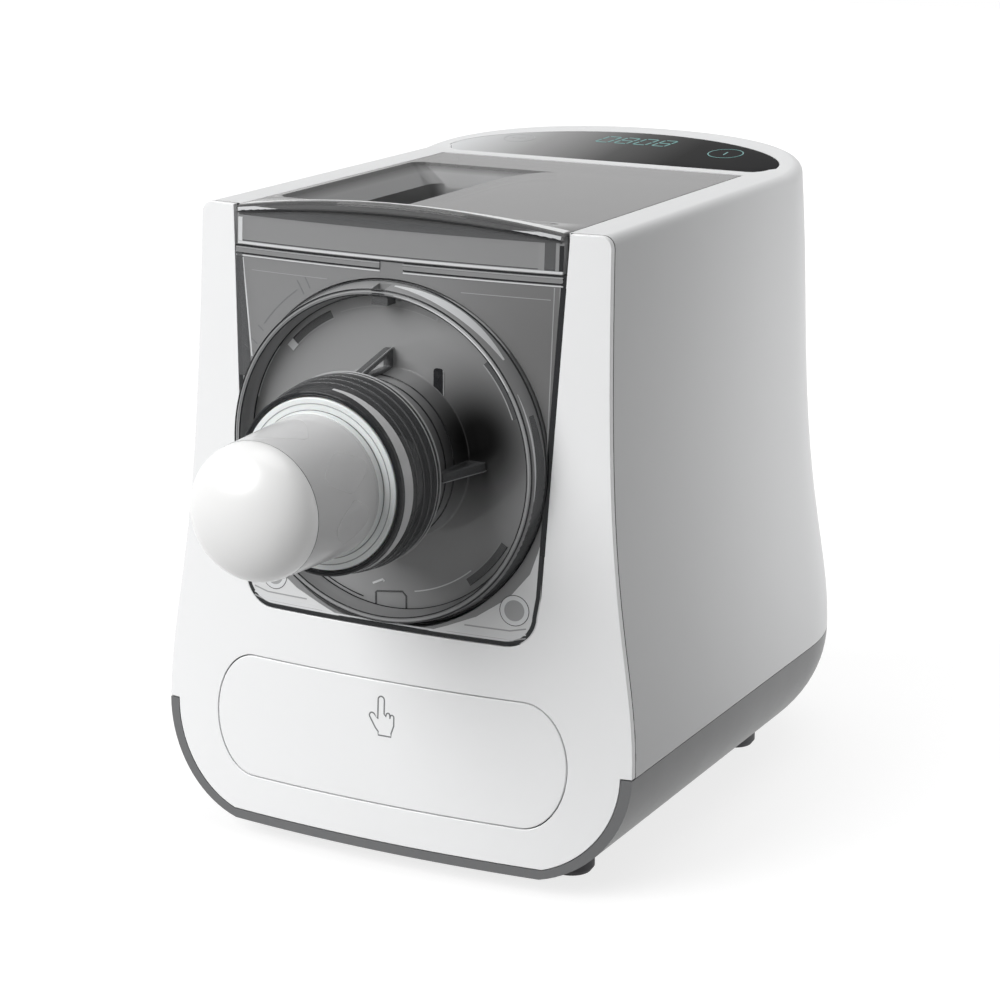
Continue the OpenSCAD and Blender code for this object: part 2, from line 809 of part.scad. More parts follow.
module extruder_disc() color("slategray", 0.5) place() {
    forward(0, 0, axis_h) {
        rotate_extrude() polygon([[barrel_r, -14], [barrel_r, barrel_front - 9],
            [barrel_out - 4, barrel_front], [barrel_out, barrel_front],
            [barrel_out, -disc_face + 9], [barrel_out + 4.5, -disc_face],
            [disc_r, -disc_face], [disc_r, -ring_back + 0.6], [disc_r - 3.4, -ring_back + 0.6],
            [disc_r - 3.4, -disc_face - disc_t], [barrel_out, -disc_face - disc_t],
            [barrel_r + 4, -14]]);
        for (f = [0:2]) translate([0, 0, barrel_front - 4.5 - 4.2 * f])
            rotate_extrude() polygon([[barrel_out - 0.5, 0], [thread_r, 0.7],
                [thread_r, 1.7], [barrel_out - 0.5, 2.4]]);
        for (a = [0:90:270]) rotate([0, 0, a]) rotate([90, 0, 0])
            translate([0, 0, -1.4]) linear_extrude(2.8)
                polygon([[barrel_out - 2, -disc_face - 1], [barrel_out + 20, -disc_face - 1],
                    [barrel_out + 20, -disc_face + 4], [barrel_out - 2, 20]]);
        for (a = [90, 210, 330]) rotate([0, 0, a])
            translate([disc_r - 11, -5, -disc_face - 1]) cube([7, 10, 4]);
    }
}

// ---- Nozzle ----
module die_nut() color("dimgray", 0.7) place() {
    forward(0, 0, axis_h) rotate_extrude() polygon([[nut_bore, nut_back],
        [nut_r_back, nut_back], [nut_r_back, nut_back + 3], [nut_r_front, nut_front],
        [nut_lip_r, nut_front], [nut_lip_r, die_reach - die_t + die_flange_t + gap],
        [nut_bore, die_reach - die_t + die_flange_t + gap]]);
}

module pasta_die() color("white") place() {
    back = die_reach - die_t;
    forward(0, 0, axis_h) difference() {
        rotate_extrude() polygon([[0, back], [die_flange_r, back],
            [die_flange_r, back + die_flange_t], [die_r, back + die_flange_t],
            [die_r, die_reach - 0.6], [die_r - 0.6, die_reach], [step_r, die_reach],
            [step_r, die_reach + step_l - 0.6], [step_r - 0.6, die_reach + step_l],
            [spigot_r, die_reach + step_l],
            [spigot_r, die_reach + spigot_l - 0.5], [spigot_r - 0.5, die_reach + spigot_l],
            [spigot_r - 2, die_reach + spigot_l], [spigot_r - 2, die_reach - 2],
            [0, die_reach - 2]]);
        for (k = [0:die_rows]) for (i = [0:max(0, 6 * k - 1)])
            rotate([0, 0, k == 0 ? 0 : i * 60 / k]) translate([k * 6, 0, back - 1])
                cylinder(r = die_hole_r, h = die_t + 2, $fn = 32);
    }
}

module cap_sleeve() color("whitesmoke", 0.5) place() {
    forward(0, 0, axis_h) rotate_extrude() polygon([[sleeve_r, sleeve_back],
        [sleeve_tip_r, sleeve_front], [sleeve_tip_r - sleeve_t, sleeve_front],
        [sleeve_r - sleeve_t, sleeve_back]]);
}

module cap_dome() color("white") place() {
    base = sleeve_front + gap;
    tall = dome_l - gap;
    r = sleeve_tip_r;
    skin = 2.2;
    lip = sleeve_tip_r - sleeve_t - 0.2;
    forward(0, 0, axis_h) rotate_extrude() polygon(concat(
        [for (t = steps(0, 90, 14)) [r * power(cos(t), 2.1), base + tall * power(sin(t), 2.1)]],
        [for (t = steps(90, 0, 12))
            [(lip - 1.8) * power(cos(t), 2.1), base + (tall - skin) * power(sin(t), 2.1)]],
        [[lip - 1.8, base - 5], [lip, base - 5], [lip, base]]));
}

// ---- Mixing screw ----
module mixing_screw() color("whitesmoke") place() {
    nose = barrel_front - 3;
    forward(0, 0, axis_h) difference() {
        union() {
            translate([0, 0, -auger_back]) linear_extrude(nose + auger_back - 4,
                twist = -360 * (nose + auger_back - 4) / auger_pitch, slices = 56)
                sector(hub_r - 3, auger_r, auger_span, 4);
            rotate_extrude() polygon([[0, nose], [hub_r - 5, nose - 2], [hub_r - 2, nose - 10],
                [hub_r - 2, -auger_back], [hub_r, -auger_back - 4], [hub_r, -screw_back],
                [0, -screw_back]]);
        }
        translate([0, 0, -screw_back - eps]) cylinder(r = hex_r + run_gap, h = hex_l + 1, $fn = 6);
        rod_places() cylinder(r = rod_r + run_gap, h = 3 * hub_r, center = true, $fn = 32);
    }
}

module rod_places() {
    for (i = [0:len(rod_ys) - 1]) translate([0, 0, -rod_ys[i]])
        rotate([0, 90, rod_turns[i]]) children();
}

module mixing_rods() color("dimgray") place() {
    forward(0, 0, axis_h) for (i = [0:len(rod_ys) - 1])
        translate([0, 0, -rod_ys[i]]) rotate([0, 90, rod_turns[i]]) {
            cylinder(r = rod_r, h = 2 * rod_half[i] - 2 * rod_r, center = true, $fn = 48);
            for (s = [-1, 1]) translate([0, 0, s * (rod_half[i] - rod_r)]) sphere(r = rod_r, $fn = 32);
        }
}

// ---- Lid ----
module lid() color("slategray", 0.5) place() {
    plate_z = body_h - lid_t;
    skirt_low = lid_z + gap;
    difference() {
        union() {
            intersection() {
                translate([-lid_half, front_start, plate_z])
                    cube([2 * lid_half, lid_back - front_start, lid_t]);
                behind(0);
            }
            intersection() {
                both_sides() translate([lid_half - skirt_t, front_start, skirt_low])
                    cube([skirt_t, skirt_l - front_start, plate_z - skirt_low + eps]);
                behind(0);
            }
            front_layer(0, 2.6) translate([-lid_half, lid_z]) square([2 * lid_half, lid_h - 2.5]);
            intersection() {
                hump_roof(0);
                behind(0);
                translate([-lid_half, front_start, plate_z + 1])
                    cube([2 * lid_half, feed_y + 20 - front_start, 20]);
            }
            intersection() {
                hump_roof(0);
                front_layer(-bead_lip, 2 + bead_lip) polygon(bead_outline());
            }
            both_sides() translate([lid_half - 9, hinge_y, hinge_z])
                rotate([0, 90, 0]) cylinder(r = hinge_r, h = 8);
            translate([0, 0, skirt_low + 1]) linear_extrude(plate_z - skirt_low) feed_outline(skirt_t);
            feed_slope(skirt_t, body_h - 1);
        }
        intersection() {
            hump_roof(lid_t);
            behind(2.6);
            translate([skirt_t - lid_half, front_start, plate_z - 0.2])
                cube([2 * (lid_half - skirt_t), feed_y + 20 - front_start, 20]);
        }
        translate([0, 0, skirt_low - 5]) linear_extrude(40) feed_outline(0);
        feed_slope(0, body_h + 1);
        both_sides() translate([lid_half - 10, hinge_y, hinge_z])
            rotate([0, 90, 0]) cylinder(r = pin_r + run_gap, h = 12);
    }
}

// Outline of the feed funnel where its walls stand upright
module feed_outline(grow) {
    left = feed_x + funnel_in - grow;
    right = feed_x + feed_w + grow;
    back = feed_y + feed_l + grow;
    polygon(concat([[left + 3, feed_y - grow], [right, feed_y - grow]],
        [for (t = steps(0, 90, 6)) [right + 14 * (1 - cos(t)), back - 34 + 34 * sin(t)]],
        [[left + 8, back], [left + 2, back - 3], [left, back - 9], [left, feed_y + 4 - grow]]));
}

// Sloped upper part of the funnel's left wall, up to height z
module feed_slope(grow, z) {
    left = feed_x + funnel_in;
    low = body_h - funnel_drop;
    forward(feed_y + feed_l - 9 + grow) linear_extrude(feed_l - 13 + 2 * grow)
        polygon([[left - funnel_in * (z - low) / funnel_drop - grow, z], [left - grow, low],
            [left + 1, low], [left + 1, z]]);
}

// Round roof of the lid's front bead, running down into the plate behind it
module hump_roof(depth) {
    translate([0, front_y(0, body_h), body_h + bead_rise])
        rotate([-90 - atan(bead_rise / hump_l), 0, 0])
            translate([0, hump_r, -60])
                cylinder(r = hump_r - depth, h = 160, $fn = 360);
}

// Face of the bead: an arched band under the roof
function bead_outline() =
    concat(mirrored([for (x = steps(lid_half, 2, 16))
            [x, body_h - 3.2 + 0.7 * bead_rise * (1 - pow(x / lid_half, 2))]]),
        [[-lid_half, body_h + 20], [lid_half, body_h + 20]]);

module lid_pins() color("silver") place() {
    both_sides() translate([lid_half - 8, hinge_y, hinge_z])
        rotate([0, 90, 0]) cylinder(r = pin_r, h = 12.5);
}

module lid_magnet() color("dimgray") place() {
    translate([lid_half - skirt_t - 4.3, 70, lid_z + 5]) cube([4, 14, lid_h - 9.3]);
}

module lid_sensor() color("black") place() {
    translate([well_half + well_wall + gap, 68, lid_z + 2]) {
        cube([7, 18, 9]);
        translate([7 - eps, 6, 2]) cube([3, 6, 5]);
    }
}

// ---- Control panel ----
module control_glass() color("black") place() {
    slope() translate([0, 0, -glass_t]) linear_extrude(glass_t) glass_outline(0);
}

module control_tray() color("darkgray") place() {
    slope() {
        translate([-tray_half, tray_v, -tray_w]) cube([2 * tray_half, tray_l, 2]);
        for (u = [2 - tray_half, tray_half - 2], v = [tray_v + 3, tray_v + tray_l - 3])
            translate([u, v, 2 - tray_w - eps])
                cylinder(r = 2, h = tray_w - 2 - glass_t - floor_t - 2 * gap);
        for (p = board_points()) translate([p[0], p[1], 2 - tray_w - eps]) difference() {
            cylinder(r = 2.6, h = 2.5);
            translate([0, 0, -1]) cylinder(r = 1.05, h = 5);
        }
    }
}

function board_points() =
    [for (u = [5 - control_half, control_half - 5], v = [tray_v + 8, tray_v + control_l + 2]) [u, v]];

module control_board() color("darkgreen") place() {
    slope() difference() {
        translate([-control_half, tray_v + 5, -9.7]) cube([2 * control_half, control_l, board_t]);
        for (p = board_points()) translate([p[0], p[1], -12]) cylinder(r = 1.05, h = 6);
    }
}

module display_module() color("black") place() {
    slope() translate([-24, tray_v + 13, -8.1]) cube([48, 16, 5.6]);
}

module touch_springs() color("silver") place() {
    slope() for (u = [-40, 34, 44]) translate([u, tray_v + 21, -8.1]) difference() {
        cylinder(r = 3.5, h = 5.6);
        translate([0, 0, 1]) cylinder(r = 2.8, h = 6);
    }
}

module board_screws() color("silver") place() {
    slope() for (p = board_points()) translate([p[0], p[1], -8.1])
        rotate([180, 0, 0]) screw(1, 3.8, 2, 1.2);
}

// ---- Drawer ----
module drawer_front() color("white") place() {
    front_layer(0, panel_t) drawer_outline(-drawer_gap);
}

module drawer_box() color("whitesmoke") place() {
    difference() {
        intersection() {
            translate([-box_half, front_start, box_bottom])
                cube([2 * box_half, drawer_d - front_start, box_top - box_bottom]);
            behind(seat_d - gap);
        }
        translate([-box_half + drawer_wall, drawer_front_wall, box_bottom + drawer_wall])
            cube([2 * (box_half - drawer_wall), drawer_d - drawer_wall - drawer_front_wall, 80]);
    }
}

module drawer_runners() color("gray") place() {
    both_sides() {
        translate([box_half + gap, 16, box_bottom - 4])
            cube([runner_t, drawer_d - 10, 16]);
        translate([box_half - 8, 16, box_bottom - gap - runner_t])
            cube([8 + gap + eps, drawer_d - 10, runner_t]);
        for (y = [50, drawer_d - 14]) translate([box_half - 8, y, wall + gap])
            cube([runner_t, 10, box_bottom - wall - 3]);
    }
}

module drawer_striker() color("silver") place() {
    translate([latch_x - 7, drawer_d + eps, latch_z - 5]) cube([14, 1, 12]);
}

module push_latch() color("dimgray") place() {
    difference() {
        translate([latch_x - 6, tongue_front + 8, wall])
            cube([12, latch_deep + 3, latch_z + 6 - wall]);
        forward(tongue_front + 8 + latch_deep, latch_x, latch_z)
            cylinder(r = tongue_r + run_gap, h = latch_deep + 10);
    }
}

module latch_tongue() color("white") place() {
    forward(tongue_front + tongue_l, latch_x, latch_z) cylinder(r = tongue_r, h = tongue_l);
}

// Coil spring along z, drawn at its pushed-in length
module coil(r, wire, l, turns) {
    loft([for (k = [0:turns * 16]) let (a = k * 22.5, z = wire + (l - 2 * wire) * k / turns / 16)
        [for (b = [0:45:315]) [(r + wire * cos(b)) * cos(a), (r + wire * cos(b)) * sin(a),
            z - wire * sin(b)]]]);
}

module latch_spring() color("silver") place() {
    forward(tongue_front + tongue_l + tongue_travel + gap + spring_l, latch_x, latch_z)
        coil(tongue_r - 0.7, 0.4, spring_l, 4);
}

// ---- Drive ----
module box_outline(grow) {
    hull() {
        translate([0, axis_h]) circle(r = out_r + slow_m + grow, $fn = 64);
        translate([idler_x, idler_z]) circle(r = fast_r + fast_m + grow, $fn = 48);
        translate([0, motor_z]) circle(r = 16 + grow, $fn = 48);
    }
}

function box_screw_points() =
    [for (a = [20, 62, 118, 160, 215, 325]) let (r = out_r + slow_m + box_air + box_wall + 3)
        [r * cos(a), axis_h + r * sin(a)]];

module box_ears(h) {
    for (p = box_screw_points()) translate([p[0], p[1]]) cylinder(r = 4.6, h = h);
}

module gearbox_housing() color("darkgray") place() {
    boss = bearing_r + 3;
    forward(box_back) difference() {
        union() {
            linear_extrude(box_deep) box_outline(box_air + box_wall);
            box_ears(box_deep);
        }
        translate([0, 0, -1]) linear_extrude(box_deep - box_wall + 1) box_outline(box_air);
        translate([0, axis_h, -1]) cylinder(r = shaft_r + 2, h = box_deep + 2);
        translate([0, motor_z, -1]) cylinder(r = motor_shaft_r + 2, h = box_deep + 2);
        translate([idler_x, idler_z, -1]) cylinder(r = idler_pin_r + run_gap, h = box_deep + 2);
        for (p = box_screw_points()) translate([p[0], p[1], -1])
            cylinder(r = m3 + run_gap, h = box_deep + 2);
    }
    forward(box_y + box_wall + bearing_w, 0, axis_h) difference() {
        cylinder(r = boss, h = bearing_w + eps);
        translate([0, 0, -1]) cylinder(r = bearing_r + run_gap, h = bearing_w + 1);
        cylinder(r = shaft_r + 2, h = bearing_w + 2);
    }
    forward(idler_front - gap, idler_x, idler_z) difference() {
        cylinder(r = idler_pin_r + 3, h = idler_front - gap - box_y - box_wall + eps);
        translate([0, 0, -1]) cylinder(r = idler_pin_r + run_gap, h = box_wall + 12);
    }
}

module gearbox_cover() color("darkgray") place() {
    boss = bearing_r + 3;
    back = box_back + gap + cover_t;
    difference() {
        union() {
            forward(back) linear_extrude(cover_t) box_outline(box_air + box_wall);
            forward(back) box_ears(cover_t);
            forward(back - cover_t + eps, 0, axis_h) cylinder(r = boss, h = bearing_w + gap);
            for (p = cover_posts()) forward(back + cover_post_l, p[0], p[1])
                cylinder(r = 4, h = cover_post_l + eps);
        }
        forward(back - cover_t, 0, axis_h) cylinder(r = bearing_r + run_gap, h = bearing_w + 2);
        forward(back + 1, idler_x, idler_z) cylinder(r = idler_pin_r + run_gap, h = cover_t + 2);
        for (p = box_screw_points()) forward(back + 1, p[0], p[1])
            cylinder(r = m3 + run_gap, h = cover_t + 2);
        for (p = cover_posts()) forward(back + cover_post_l + 1, p[0], p[1])
            cylinder(r = m3 + run_gap, h = 9);
    }
}

function cover_posts() =
    [for (x = [8 - power_half, power_half - 8], z = [8, power_h - 8]) [x, axis_h - power_low + z]];

module gearbox_screws() color("silver") place() {
    for (p = box_screw_points()) translate([p[0], box_back + gap + cover_t, p[1]])
        rotate([90, 0, 0]) screw(m3, cover_t + gap + box_deep + gap + bulk_t, 3, 1.8);
    seat = box_back + gap + cover_t + cover_post_l + board_t + gap;
    for (p = cover_posts()) translate([p[0], seat, p[1]])
        rotate([90, 0, 0]) screw(m3, 8, 3, 1.8);
}

module drive_shaft() color("silver") place() {
    forward(box_back - 1, 0, axis_h) cylinder(r = shaft_r, h = box_back - 1 - bowl_back + 1);
    forward(bowl_back - 1 + eps, 0, axis_h) cylinder(r = hex_r, h = hex_l, $fn = 6);
}

module shaft_seal() color("black") place() {
    forward(bowl_back + bowl_t, 0, axis_h) difference() {
        cylinder(r = seal_r, h = bowl_t);
        translate([0, 0, -1]) cylinder(r = shaft_r + run_gap, h = bowl_t + 2);
    }
}

module output_gear() color("gray") place() {
    forward(slow_back, 0, axis_h) difference() {
        rotate([0, 0, to_idler]) linear_extrude(slow_w) spur(wheel_teeth, slow_m);
        translate([0, 0, -1]) cylinder(r = shaft_r + 0.02, h = slow_w + 2);
        for (s = [-1, slow_w - 4]) translate([0, 0, s]) difference() {
            cylinder(r = out_r - 3 * slow_m, h = 5);
            cylinder(r = shaft_r + 7, h = 5);
        }
    }
}

module shaft_bearings() color("silver") place() {
    for (y = [box_y + box_wall + bearing_w, box_back])
        forward(y, 0, axis_h) difference() {
            cylinder(r = bearing_r, h = bearing_w);
            translate([0, 0, -1]) cylinder(r = shaft_r + run_gap, h = bearing_w + 2);
            for (s = [-eps, bearing_w - 0.8 + eps]) translate([0, 0, s]) difference() {
                cylinder(r = bearing_r - 2.5, h = 0.8);
                cylinder(r = shaft_r + 2.5, h = 0.8);
            }
        }
}

module idler_gear() color("dimgray") place() {
    difference() {
        union() {
            forward(fast_back - fast_w + eps, idler_x, idler_z)
                rotate([0, 0, to_idler + 180 + 180 / idler_teeth])
                    linear_extrude(fast_back - fast_w - idler_front) spur(idler_teeth, slow_m);
            forward(box_back - gap, idler_x, idler_z)
                cylinder(r = idler_pin_r + 4, h = box_back - gap - fast_back + eps);
            forward(fast_back, idler_x, idler_z) rotate([0, 0, to_motor])
                linear_extrude(fast_w) spur(wheel_teeth, fast_m);
        }
        forward(box_back + 1, idler_x, idler_z) cylinder(r = idler_pin_r + run_gap, h = 60);
    }
}

module idler_pin() color("silver") place() {
    forward(box_back + gap + cover_t, idler_x, idler_z)
        cylinder(r = idler_pin_r, h = cover_t + gap + box_deep);
}

module motor_pinion() color("dimgray") place() {
    forward(fast_back + 0.5, 0, motor_z) difference() {
        rotate([0, 0, to_motor + 180 + 180 / pinion_teeth])
            linear_extrude(fast_w + 1) spur(pinion_teeth, fast_m);
        translate([0, 0, -1]) cylinder(r = motor_shaft_r + 0.02, h = fast_w + 4);
    }
}

// ---- Motor ----
module motor_shaft() color("silver") place() {
    forward(fast_back + 1, 0, motor_z)
        cylinder(r = motor_shaft_r, h = fast_back + 1 - motor_front);
}

module rotor_core() color("darkgray") place() {
    forward(stator_back - 2, 0, motor_z) difference() {
        cylinder(r = rotor_r, h = stator_l - 4);
        translate([0, 0, -1]) cylinder(r = motor_shaft_r + 0.02, h = stator_l);
    }
}

module motor_hole(a, y, h) {
    forward(y, bolt_ring * cos(a), motor_z + bolt_ring * sin(a))
        cylinder(r = bolt_r + run_gap, h = h, $fn = 32);
}

module stator_core() color("gray") place() {
    difference() {
        forward(stator_back - gap / 2, 0, motor_z) difference() {
            cylinder(r = motor_r, h = stator_l - gap);
            translate([0, 0, -1]) cylinder(r = stator_bore, h = stator_l + 2);
            for (i = [0:7]) rotate([0, 0, i * 45 + 22.5]) translate([stator_bore + 3, -2.5, -1])
                cube([6, 5, stator_l + 2]);
        }
        for (a = [45:90:315]) motor_hole(a, stator_back + 1, stator_l + 2);
    }
}

module stator_windings() color("peru") place() {
    for (y = [stator_back + 8.5, stator_front - gap / 2 + 0.15])
        forward(y, 0, motor_z) difference() {
            cylinder(r = stator_bore + 9.4, h = 8.5);
            translate([0, 0, -1]) cylinder(r = stator_bore + 1.5, h = 12);
        }
}

module bell(y, toward) {
    difference() {
        forward(y, 0, motor_z) difference() {
            cylinder(r = motor_r, h = bell_l);
            translate([0, 0, toward > 0 ? bell_t : -1])
                cylinder(r = bolt_ring - 3, h = bell_l - bell_t + 1);
            translate([0, 0, -1]) cylinder(r = motor_shaft_r + 2, h = bell_l + 2);
            for (i = [0:5]) rotate([0, 0, i * 60 + 15]) translate([15, -3, -1])
                cube([8, 6, bell_l + 2]);
        }
        for (a = [45:90:315]) motor_hole(a, y + 1, bell_l + 2);
    }
    hub_y = toward > 0 ? y - bell_t + eps : y - bell_l + bell_t + motor_bearing_w;
    forward(hub_y, 0, motor_z) difference() {
        cylinder(r = motor_bearing_r + 2.5, h = motor_bearing_w);
        translate([0, 0, -1]) cylinder(r = motor_bearing_r + run_gap, h = motor_bearing_w + 2);
    }
}

module front_bell() color("silver") place() {
    bell(stator_front - gap, -1);
}

module rear_bell() color("silver") place() {
    bell(rear_bell_back, 1);
}

module motor_bearings() color("silver") place() {
    for (y = [rear_bell_back - bell_t, front_bell_front - gap + bell_t + motor_bearing_w])
        forward(y, 0, motor_z) difference() {
            cylinder(r = motor_bearing_r, h = motor_bearing_w);
            translate([0, 0, -1]) cylinder(r = motor_shaft_r + run_gap, h = motor_bearing_w + 2);
        }
}

module motor_bolts() color("silver") place() {
    for (a = [45:90:315])
        translate([bolt_ring * cos(a), front_bell_front - gap, motor_z + bolt_ring * sin(a)])
            rotate([-90, 0, 0])
                screw(bolt_r, bulk_y + bulk_t - front_bell_front + gap - eps, 2.8, 2);
}

module motor_saddle() color("gray") place() {
    low = wall / 2 + 2 + gap;
    difference() {
        union() {
            translate([-28, stator_front + 2, low]) cube([56, stator_l - 4, 2.5]);
            for (y = [stator_front + 3, stator_back - 7]) translate([-26, y, low])
                cube([52, 4, motor_z - low - 18]);
        }
        forward(stator_back + 5, 0, motor_z) cylinder(r = motor_r + gap, h = stator_l + 10);
    }
}

module cooling_fan() color("whitesmoke") place() {
    forward(fan_back, 0, motor_z) {
        difference() {
            cylinder(r = 10, h = fan_w);
            translate([0, 0, -1]) cylinder(r = motor_shaft_r + 0.02, h = fan_w + 2);
        }
        for (i = [0:8]) rotate([0, 0, i * 40]) translate([9, -0.8, 0])
            rotate([30, 0, 0]) translate([0, 0, 1.5]) cube([fan_r - 9, 1.6, fan_w - 2.5]);
    }
}

// ---- Power ----
module power_inlet() color("black") place() {
    back = rear_y(inlet_z + inlet_h / 2 + 4) - wall - 1.4;
    difference() {
        union() {
            translate([-inlet_w / 2 + gap, back + 6 - inlet_l, inlet_z - inlet_h / 2 + gap])
                cube([inlet_w - 2 * gap, inlet_l, inlet_h - 2 * gap]);
            translate([-inlet_w / 2 - 4, back - 3, inlet_z - inlet_h / 2 - 4])
                cube([inlet_w + 8, 3, inlet_h + 8]);
        }
        translate([-12, back - 16, inlet_z - 8]) cube([24, 40, 16]);
    }
    for (p = [[-7, 2], [0, -2], [7, 2]]) translate([p[0] - 1, back - 16 - eps, inlet_z + p[1] - 2])
        cube([2, 13, 4]);
}

module power_board() color("darkgreen") place() {
    y = box_back + gap + cover_t + cover_post_l + gap;
    difference() {
        union() {
            translate([-power_half, y, axis_h - power_low]) cube([2 * power_half, board_t, power_h]);
            translate([-34, y + board_t - eps, axis_h - 22]) cube([26, 14, 22]);
            translate([6, y + board_t - eps, axis_h - 18]) cube([24, 16, 20]);
            forward(y + board_t + 18, -18, axis_h + 18) cylinder(r = 8, h = 18 + eps);
        }
        for (p = cover_posts()) forward(y + 10, p[0], p[1]) cylinder(r = m3 + run_gap, h = 20);
    }
}

outer_shell();
front_panel();
base_tub();
feet();
foot_screws();
shell_screws();
front_frame();
frame_screws();
bulkhead();
bulkhead_screws();
window_plate();
mixing_bowl();
disc_gasket();
locking_ring();
extruder_disc();
die_nut();
pasta_die();
cap_sleeve();
cap_dome();
mixing_screw();
mixing_rods();
lid();
lid_pins();
lid_magnet();
lid_sensor();
control_glass();
control_tray();
control_board();
display_module();
touch_springs();
board_screws();
drawer_front();
drawer_box();
drawer_runners();
drawer_striker();
push_latch();
latch_tongue();
latch_spring();
gearbox_housing();
gearbox_cover();
gearbox_screws();
drive_shaft();
shaft_seal();
output_gear();
shaft_bearings();
idler_gear();
idler_pin();
motor_pinion();
motor_shaft();
rotor_core();
stator_core();
stator_windings();
front_bell();
rear_bell();
motor_bearings();
motor_bolts();
motor_saddle();
cooling_fan();
power_inlet();
power_board();
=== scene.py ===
import itertools
import json
import math

import bpy
import bmesh
from mathutils import Matrix, Vector
from mathutils.geometry import delaunay_2d_cdt


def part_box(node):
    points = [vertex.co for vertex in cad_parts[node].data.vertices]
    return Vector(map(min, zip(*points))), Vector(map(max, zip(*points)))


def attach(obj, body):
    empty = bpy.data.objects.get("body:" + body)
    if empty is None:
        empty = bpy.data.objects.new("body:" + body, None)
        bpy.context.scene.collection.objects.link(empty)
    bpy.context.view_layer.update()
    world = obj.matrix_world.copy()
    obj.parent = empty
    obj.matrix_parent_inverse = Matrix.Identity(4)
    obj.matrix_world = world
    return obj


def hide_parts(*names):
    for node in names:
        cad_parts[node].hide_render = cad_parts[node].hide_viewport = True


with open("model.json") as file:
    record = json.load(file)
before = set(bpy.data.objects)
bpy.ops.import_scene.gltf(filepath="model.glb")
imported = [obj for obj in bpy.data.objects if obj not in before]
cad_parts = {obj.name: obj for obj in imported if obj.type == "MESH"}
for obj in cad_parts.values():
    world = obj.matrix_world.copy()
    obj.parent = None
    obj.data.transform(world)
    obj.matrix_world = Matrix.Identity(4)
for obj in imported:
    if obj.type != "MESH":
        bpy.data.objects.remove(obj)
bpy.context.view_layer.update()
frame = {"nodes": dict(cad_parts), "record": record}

# ---- Driving sizes, in millimetres ----
MM = 0.001
AXIS_H = 171.0
BODY_W = 224.0
SEAM_H = 47.5
WALL = 2.6
PANEL_T = 3.0
TRIM_W = 5.0
BOWL_R = 70.0
DIE_REACH = 49.0
SLEEVE_L = 45.0
DOME_L = 17.5
GAP = 0.3
BODY_D = 305.0

# The body's own frame: x from its middle, y back from the lower front corners, z from the underside
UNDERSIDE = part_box("outer_shell")[0].z - (SEAM_H + GAP / 2) * MM
CORNER_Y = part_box("outer_shell")[1].y - BODY_D * MM


def spot(x, y, z):
    """Point of the body's own frame, in metres."""
    return Vector((x * MM, CORNER_Y + y * MM, UNDERSIDE + z * MM))


def far_side(node, axis):
    """Highest coordinate of a node along one axis of the body's own frame."""
    start = (0.0, CORNER_Y, UNDERSIDE)[axis]
    return (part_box(node)[1][axis] - start) / MM


BODY_H = far_side("front_panel", 2)
LID_HALF = far_side("lid", 0)
LID_BACK = far_side("mixing_bowl", 1) - 1.8
RING_R = BOWL_R + 2
LIP_R = RING_R - 1.7
RIM_HALF = LID_HALF + 17.3
KEEL_R = SEAM_H + 1.2
KEEL_X = BODY_W / 2 - KEEL_R
KINK = KEEL_X + math.sqrt(KEEL_R ** 2 - SEAM_H ** 2)
FRONT_R = 650.0
FRONT_LEAN = math.radians(3)
HINGE_Y = LID_BACK - 1.7
NOSE_Y = HINGE_Y + 14.2
SLOPE = math.radians(6.2)
RIM_R = 5.0
RIM_TURNS = (18, 36, 54, 72, 90)
SEAT_D = PANEL_T + GAP
WELL_HALF = LID_HALF + 0.5
WELL_BACK = HINGE_Y + 3.8
LID_Z = BODY_H - 16.3
WINDOW_Z = AXIS_H - RING_R - 1.5
WINDOW_FOOT = RING_R - 1.6
WINDOW_SPREAD = 7.8
WINDOW_R = 14.0
GLASS_T = 2

# Body and material slot of pieces that share them
ON_WINDOW = ("body", "smoke_clear")
BEHIND_WINDOW = ("body", "inner_gray")
ON_LID = ("lid", "smoke_clear")
ON_DISC = ("front_disc", "smoke_clear")
ON_NUT = ("nut", "smoke_dark")
ON_DIE = ("die", "white_food")
ON_SLEEVE = ("cap", "frost_clear")


# ---- Form of the body ----
FLARE_H = 78
FLARE_ORDER = 2.1
REAR_DRAW = 17
REAR_FALL = 55
CROWN_DRAW = 16
CROWN_H = 67.5
LIFT_H = 117.5
WINDOW_STRAIGHT = 9.5
NEARLY_STRAIGHT = math.radians(165)
TINY = 1e-6


def half_w(z):
    """Half of the body's width at height z."""
    if z < SEAM_H:
        return KEEL_X + math.sqrt(max(0.0, KEEL_R ** 2 - (SEAM_H - z) ** 2))
    return RIM_HALF + (BODY_W / 2 - RIM_HALF) / (1 + ((z - SEAM_H) / FLARE_H) ** FLARE_ORDER)


def rear_y(z):
    """Depth of the body at height z."""
    if z < SEAM_H:
        return BODY_D - BODY_W / 2 + half_w(z)
    crown = max(0.0, (z - BODY_H + CROWN_H) / CROWN_H)
    draw = REAR_DRAW - REAR_DRAW / (1 + ((z - SEAM_H) / REAR_FALL) ** 2)
    return BODY_D - draw - CROWN_DRAW * crown ** 2


def lift(y, z):
    """Rise of the body's top behind the lid, faded out down the sides."""
    share = min(1.0, max(0.0, (z - BODY_H + LIFT_H) / LIFT_H))
    return max(0.0, y - NOSE_Y) * math.tan(SLOPE) * share


def front_y(x, z):
    """Depth of the bowed and leaning front face."""
    return (x * x - KINK * KINK) / (2 * FRONT_R) + z * math.tan(FRONT_LEAN)


def window_half(z):
    """Half width of the window at height z."""
    foot = WINDOW_Z + WINDOW_STRAIGHT
    return WINDOW_FOOT + WINDOW_SPREAD * (z - foot) / (BODY_H - foot)


def cosd(degrees):
    return math.cos(math.radians(degrees))


def sind(degrees):
    return math.sin(math.radians(degrees))


